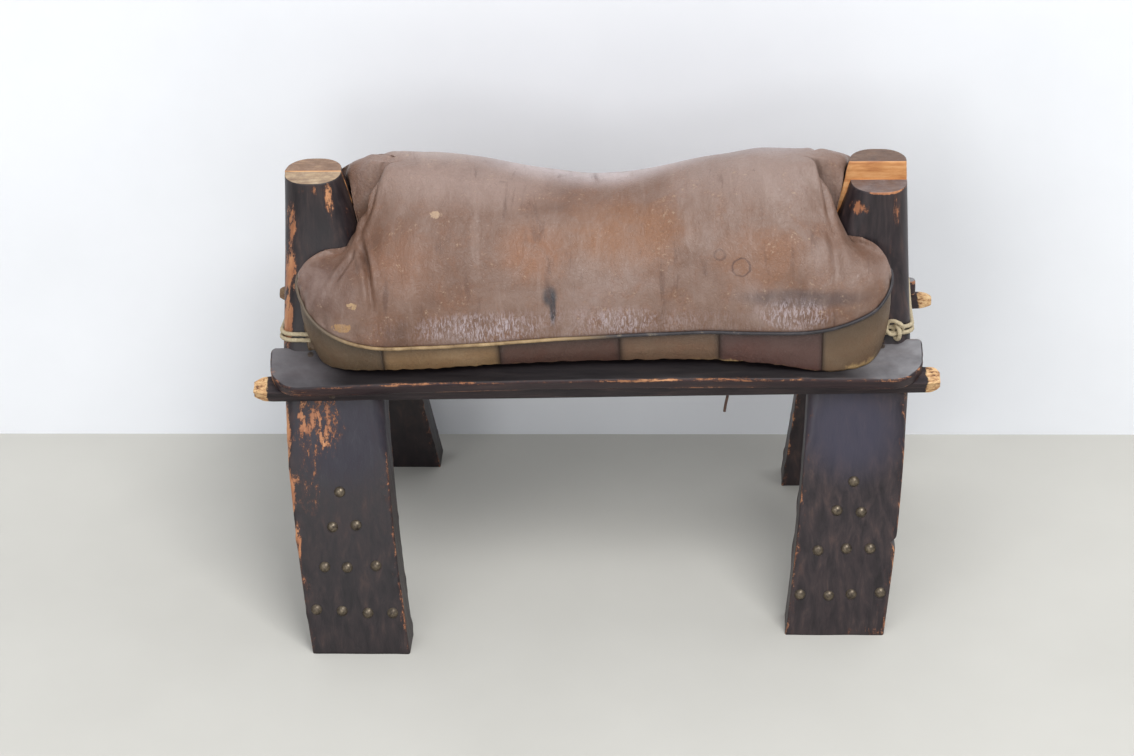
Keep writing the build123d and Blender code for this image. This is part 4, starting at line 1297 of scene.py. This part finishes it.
seam_way = outward(cover)[-1] * (1, 1, 0)
seam_way /= np.linalg.norm(seam_way, axis=1, keepdims=True)
seam_line = cover[-1] + seam_way * piping_outside
piping = tube("cushion_piping", seam_line[::2], piping_radius, 10, closed=True)
look = Finish("piping_leather")
patch = look.noise(look.place(), 60.0, 6.0, 0.7)
grain = look.noise(look.place(), 400.0, 4.0, 0.7)
from_left = look.along("X")
to_right = look.step(look.maths("ADD", from_left, look.maths("MULTIPLY", patch, 0.12)), 0.02, 0.10)
pale = look.ramp(patch, [(0.35, (116, 92, 62)), (0.5, (150, 124, 88)), (0.65, (172, 146, 108))])
pale = look.mix(look.step(from_left, -0.235, -0.28, 0.0, 0.85), pale, (84, 74, 64))
dark = look.ramp(patch, [(0.35, (32, 29, 32)), (0.6, (54, 50, 54)), (0.72, (128, 116, 98))])
piping_colour = look.mix(to_right, pale, dark)
piping.data.materials.append(look.finish(piping_colour, 0.55, look.dents(grain, 0.5, 0.0005)))
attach(piping, "cushion")


# Ties
# A doubled cotton cord leaves each end of the band, goes round the outer edges
# of the legs and is hitched with a small loop.
tie_diameter = 0.0046
tie_clearance = 0.0003
tie_levels = (0.314, 0.3195)
tie_sag = 0.012
tie_start = 0.295
tie_wander = 0.0003
laid_depth = 0.16
knot_reach = 0.311
knot_level = 0.318
knot_stand_off = 0.002
strands_level = 0.317

# The knot's loop and its hitch: half of the size along X, Y and Z, how far the
# middle lies from the knot's own, and the cord's radius.
loop_half, loop_shift, loop_radius = (0.0085, 0.0025, 0.0075), (-0.002, 0, 0.004), 0.0021
hitch_half, hitch_shift, hitch_radius = (0.003, 0.0045, 0.0075), (0, -0.001, -0.002), 0.0024


def tie_line(yoke, level, start_x, wander):
    """A flat loop of straight runs and quarter circles that just clears the leg edges."""
    stand_off = tie_clearance + tie_diameter / 2
    outer = float(yoke.outer_reach(level)) + stand_off
    reach = float(yoke.face_span(level)) + stand_off
    corner = float(yoke.rounding(level)) + stand_off
    quarter = np.linspace(0, pi / 2, 24)
    bend_x = outer - corner + corner * np.sin(quarter)
    bend_y = -reach + corner - corner * np.cos(quarter)
    front = np.stack([bend_x, bend_y], -1)
    middle = np.stack([np.full(40, outer), np.linspace(-reach + corner, reach - corner, 42)[1:-1]], -1)
    back = front[::-1] * (1, -1)
    lead = np.stack([np.linspace(start_x, outer - corner, 16)[:-1], np.full(15, -reach)], -1)
    flat = np.concatenate([lead, front, middle, back, lead[::-1] * (1, -1)])
    sway = wander * np.sin(np.linspace(0, 3 * pi, len(flat)))
    sway -= tie_sag * np.clip(1 - np.abs(flat[:, 1]) / reach, 0, 1) ** 0.7
    return np.stack([yoke.side * flat[:, 0], flat[:, 1], level + sway], -1)


look = Finish("cotton_cord")
fibre = look.noise(look.place(), 420.0, 6.0, 0.7)
dirt = look.noise(look.place(), 50.0, 4.0)
cord_colour = look.ramp(fibre, [(0.3, (160, 144, 116)), (0.7, (202, 188, 158))])
cord_colour = look.mix(look.step(dirt, 0.5, 0.8, 0, 0.6), cord_colour, (132, 116, 88))
cotton = look.finish(cord_colour, 0.85, look.dents(fibre, 0.6, 0.0005))
for yoke in (left_yoke, right_yoke):
    strands = [
        tube(f"{yoke.name}_tie_strand_{place + 1}", tie_line(yoke, level, tie_start, tie_wander),
             tie_diameter / 2, 16, twist=900.0, lobes=3, depth=laid_depth)
        for place, level in enumerate(tie_levels)
    ]
    knot_facing = -yoke.side
    reach = float(yoke.face_span(strands_level)) + tie_clearance + tie_diameter
    centre = np.array([yoke.side * knot_reach, knot_facing * (reach + knot_stand_off), knot_level])
    turn = np.linspace(0, 2 * pi, 60, endpoint=False)
    ways = (1, knot_facing, 1)
    loop_swing = np.stack([np.cos(turn), np.sin(turn * 2), np.sin(turn)], -1)
    loop = centre + ways * (loop_swing * loop_half + loop_shift)
    hitch_swing = np.stack([np.cos(turn), np.cos(turn), np.sin(turn)], -1)
    hitch = centre + ways * (hitch_swing * hitch_half + hitch_shift)
    laid = {"around": 12, "closed": True, "twist": 1100.0, "lobes": 3, "depth": laid_depth}
    knot_loop = tube(f"{yoke.name}_knot_loop", loop, loop_radius, **laid)
    knot_hitch = tube(f"{yoke.name}_knot_hitch", hitch, hitch_radius, **laid)
    for piece in strands + [knot_loop, knot_hitch]:
        piece.data.materials.append(cotton)
        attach(piece, "cushion")
    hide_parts(f"{yoke.name}_tie")
    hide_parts(f"{yoke.name}_tie_knot")
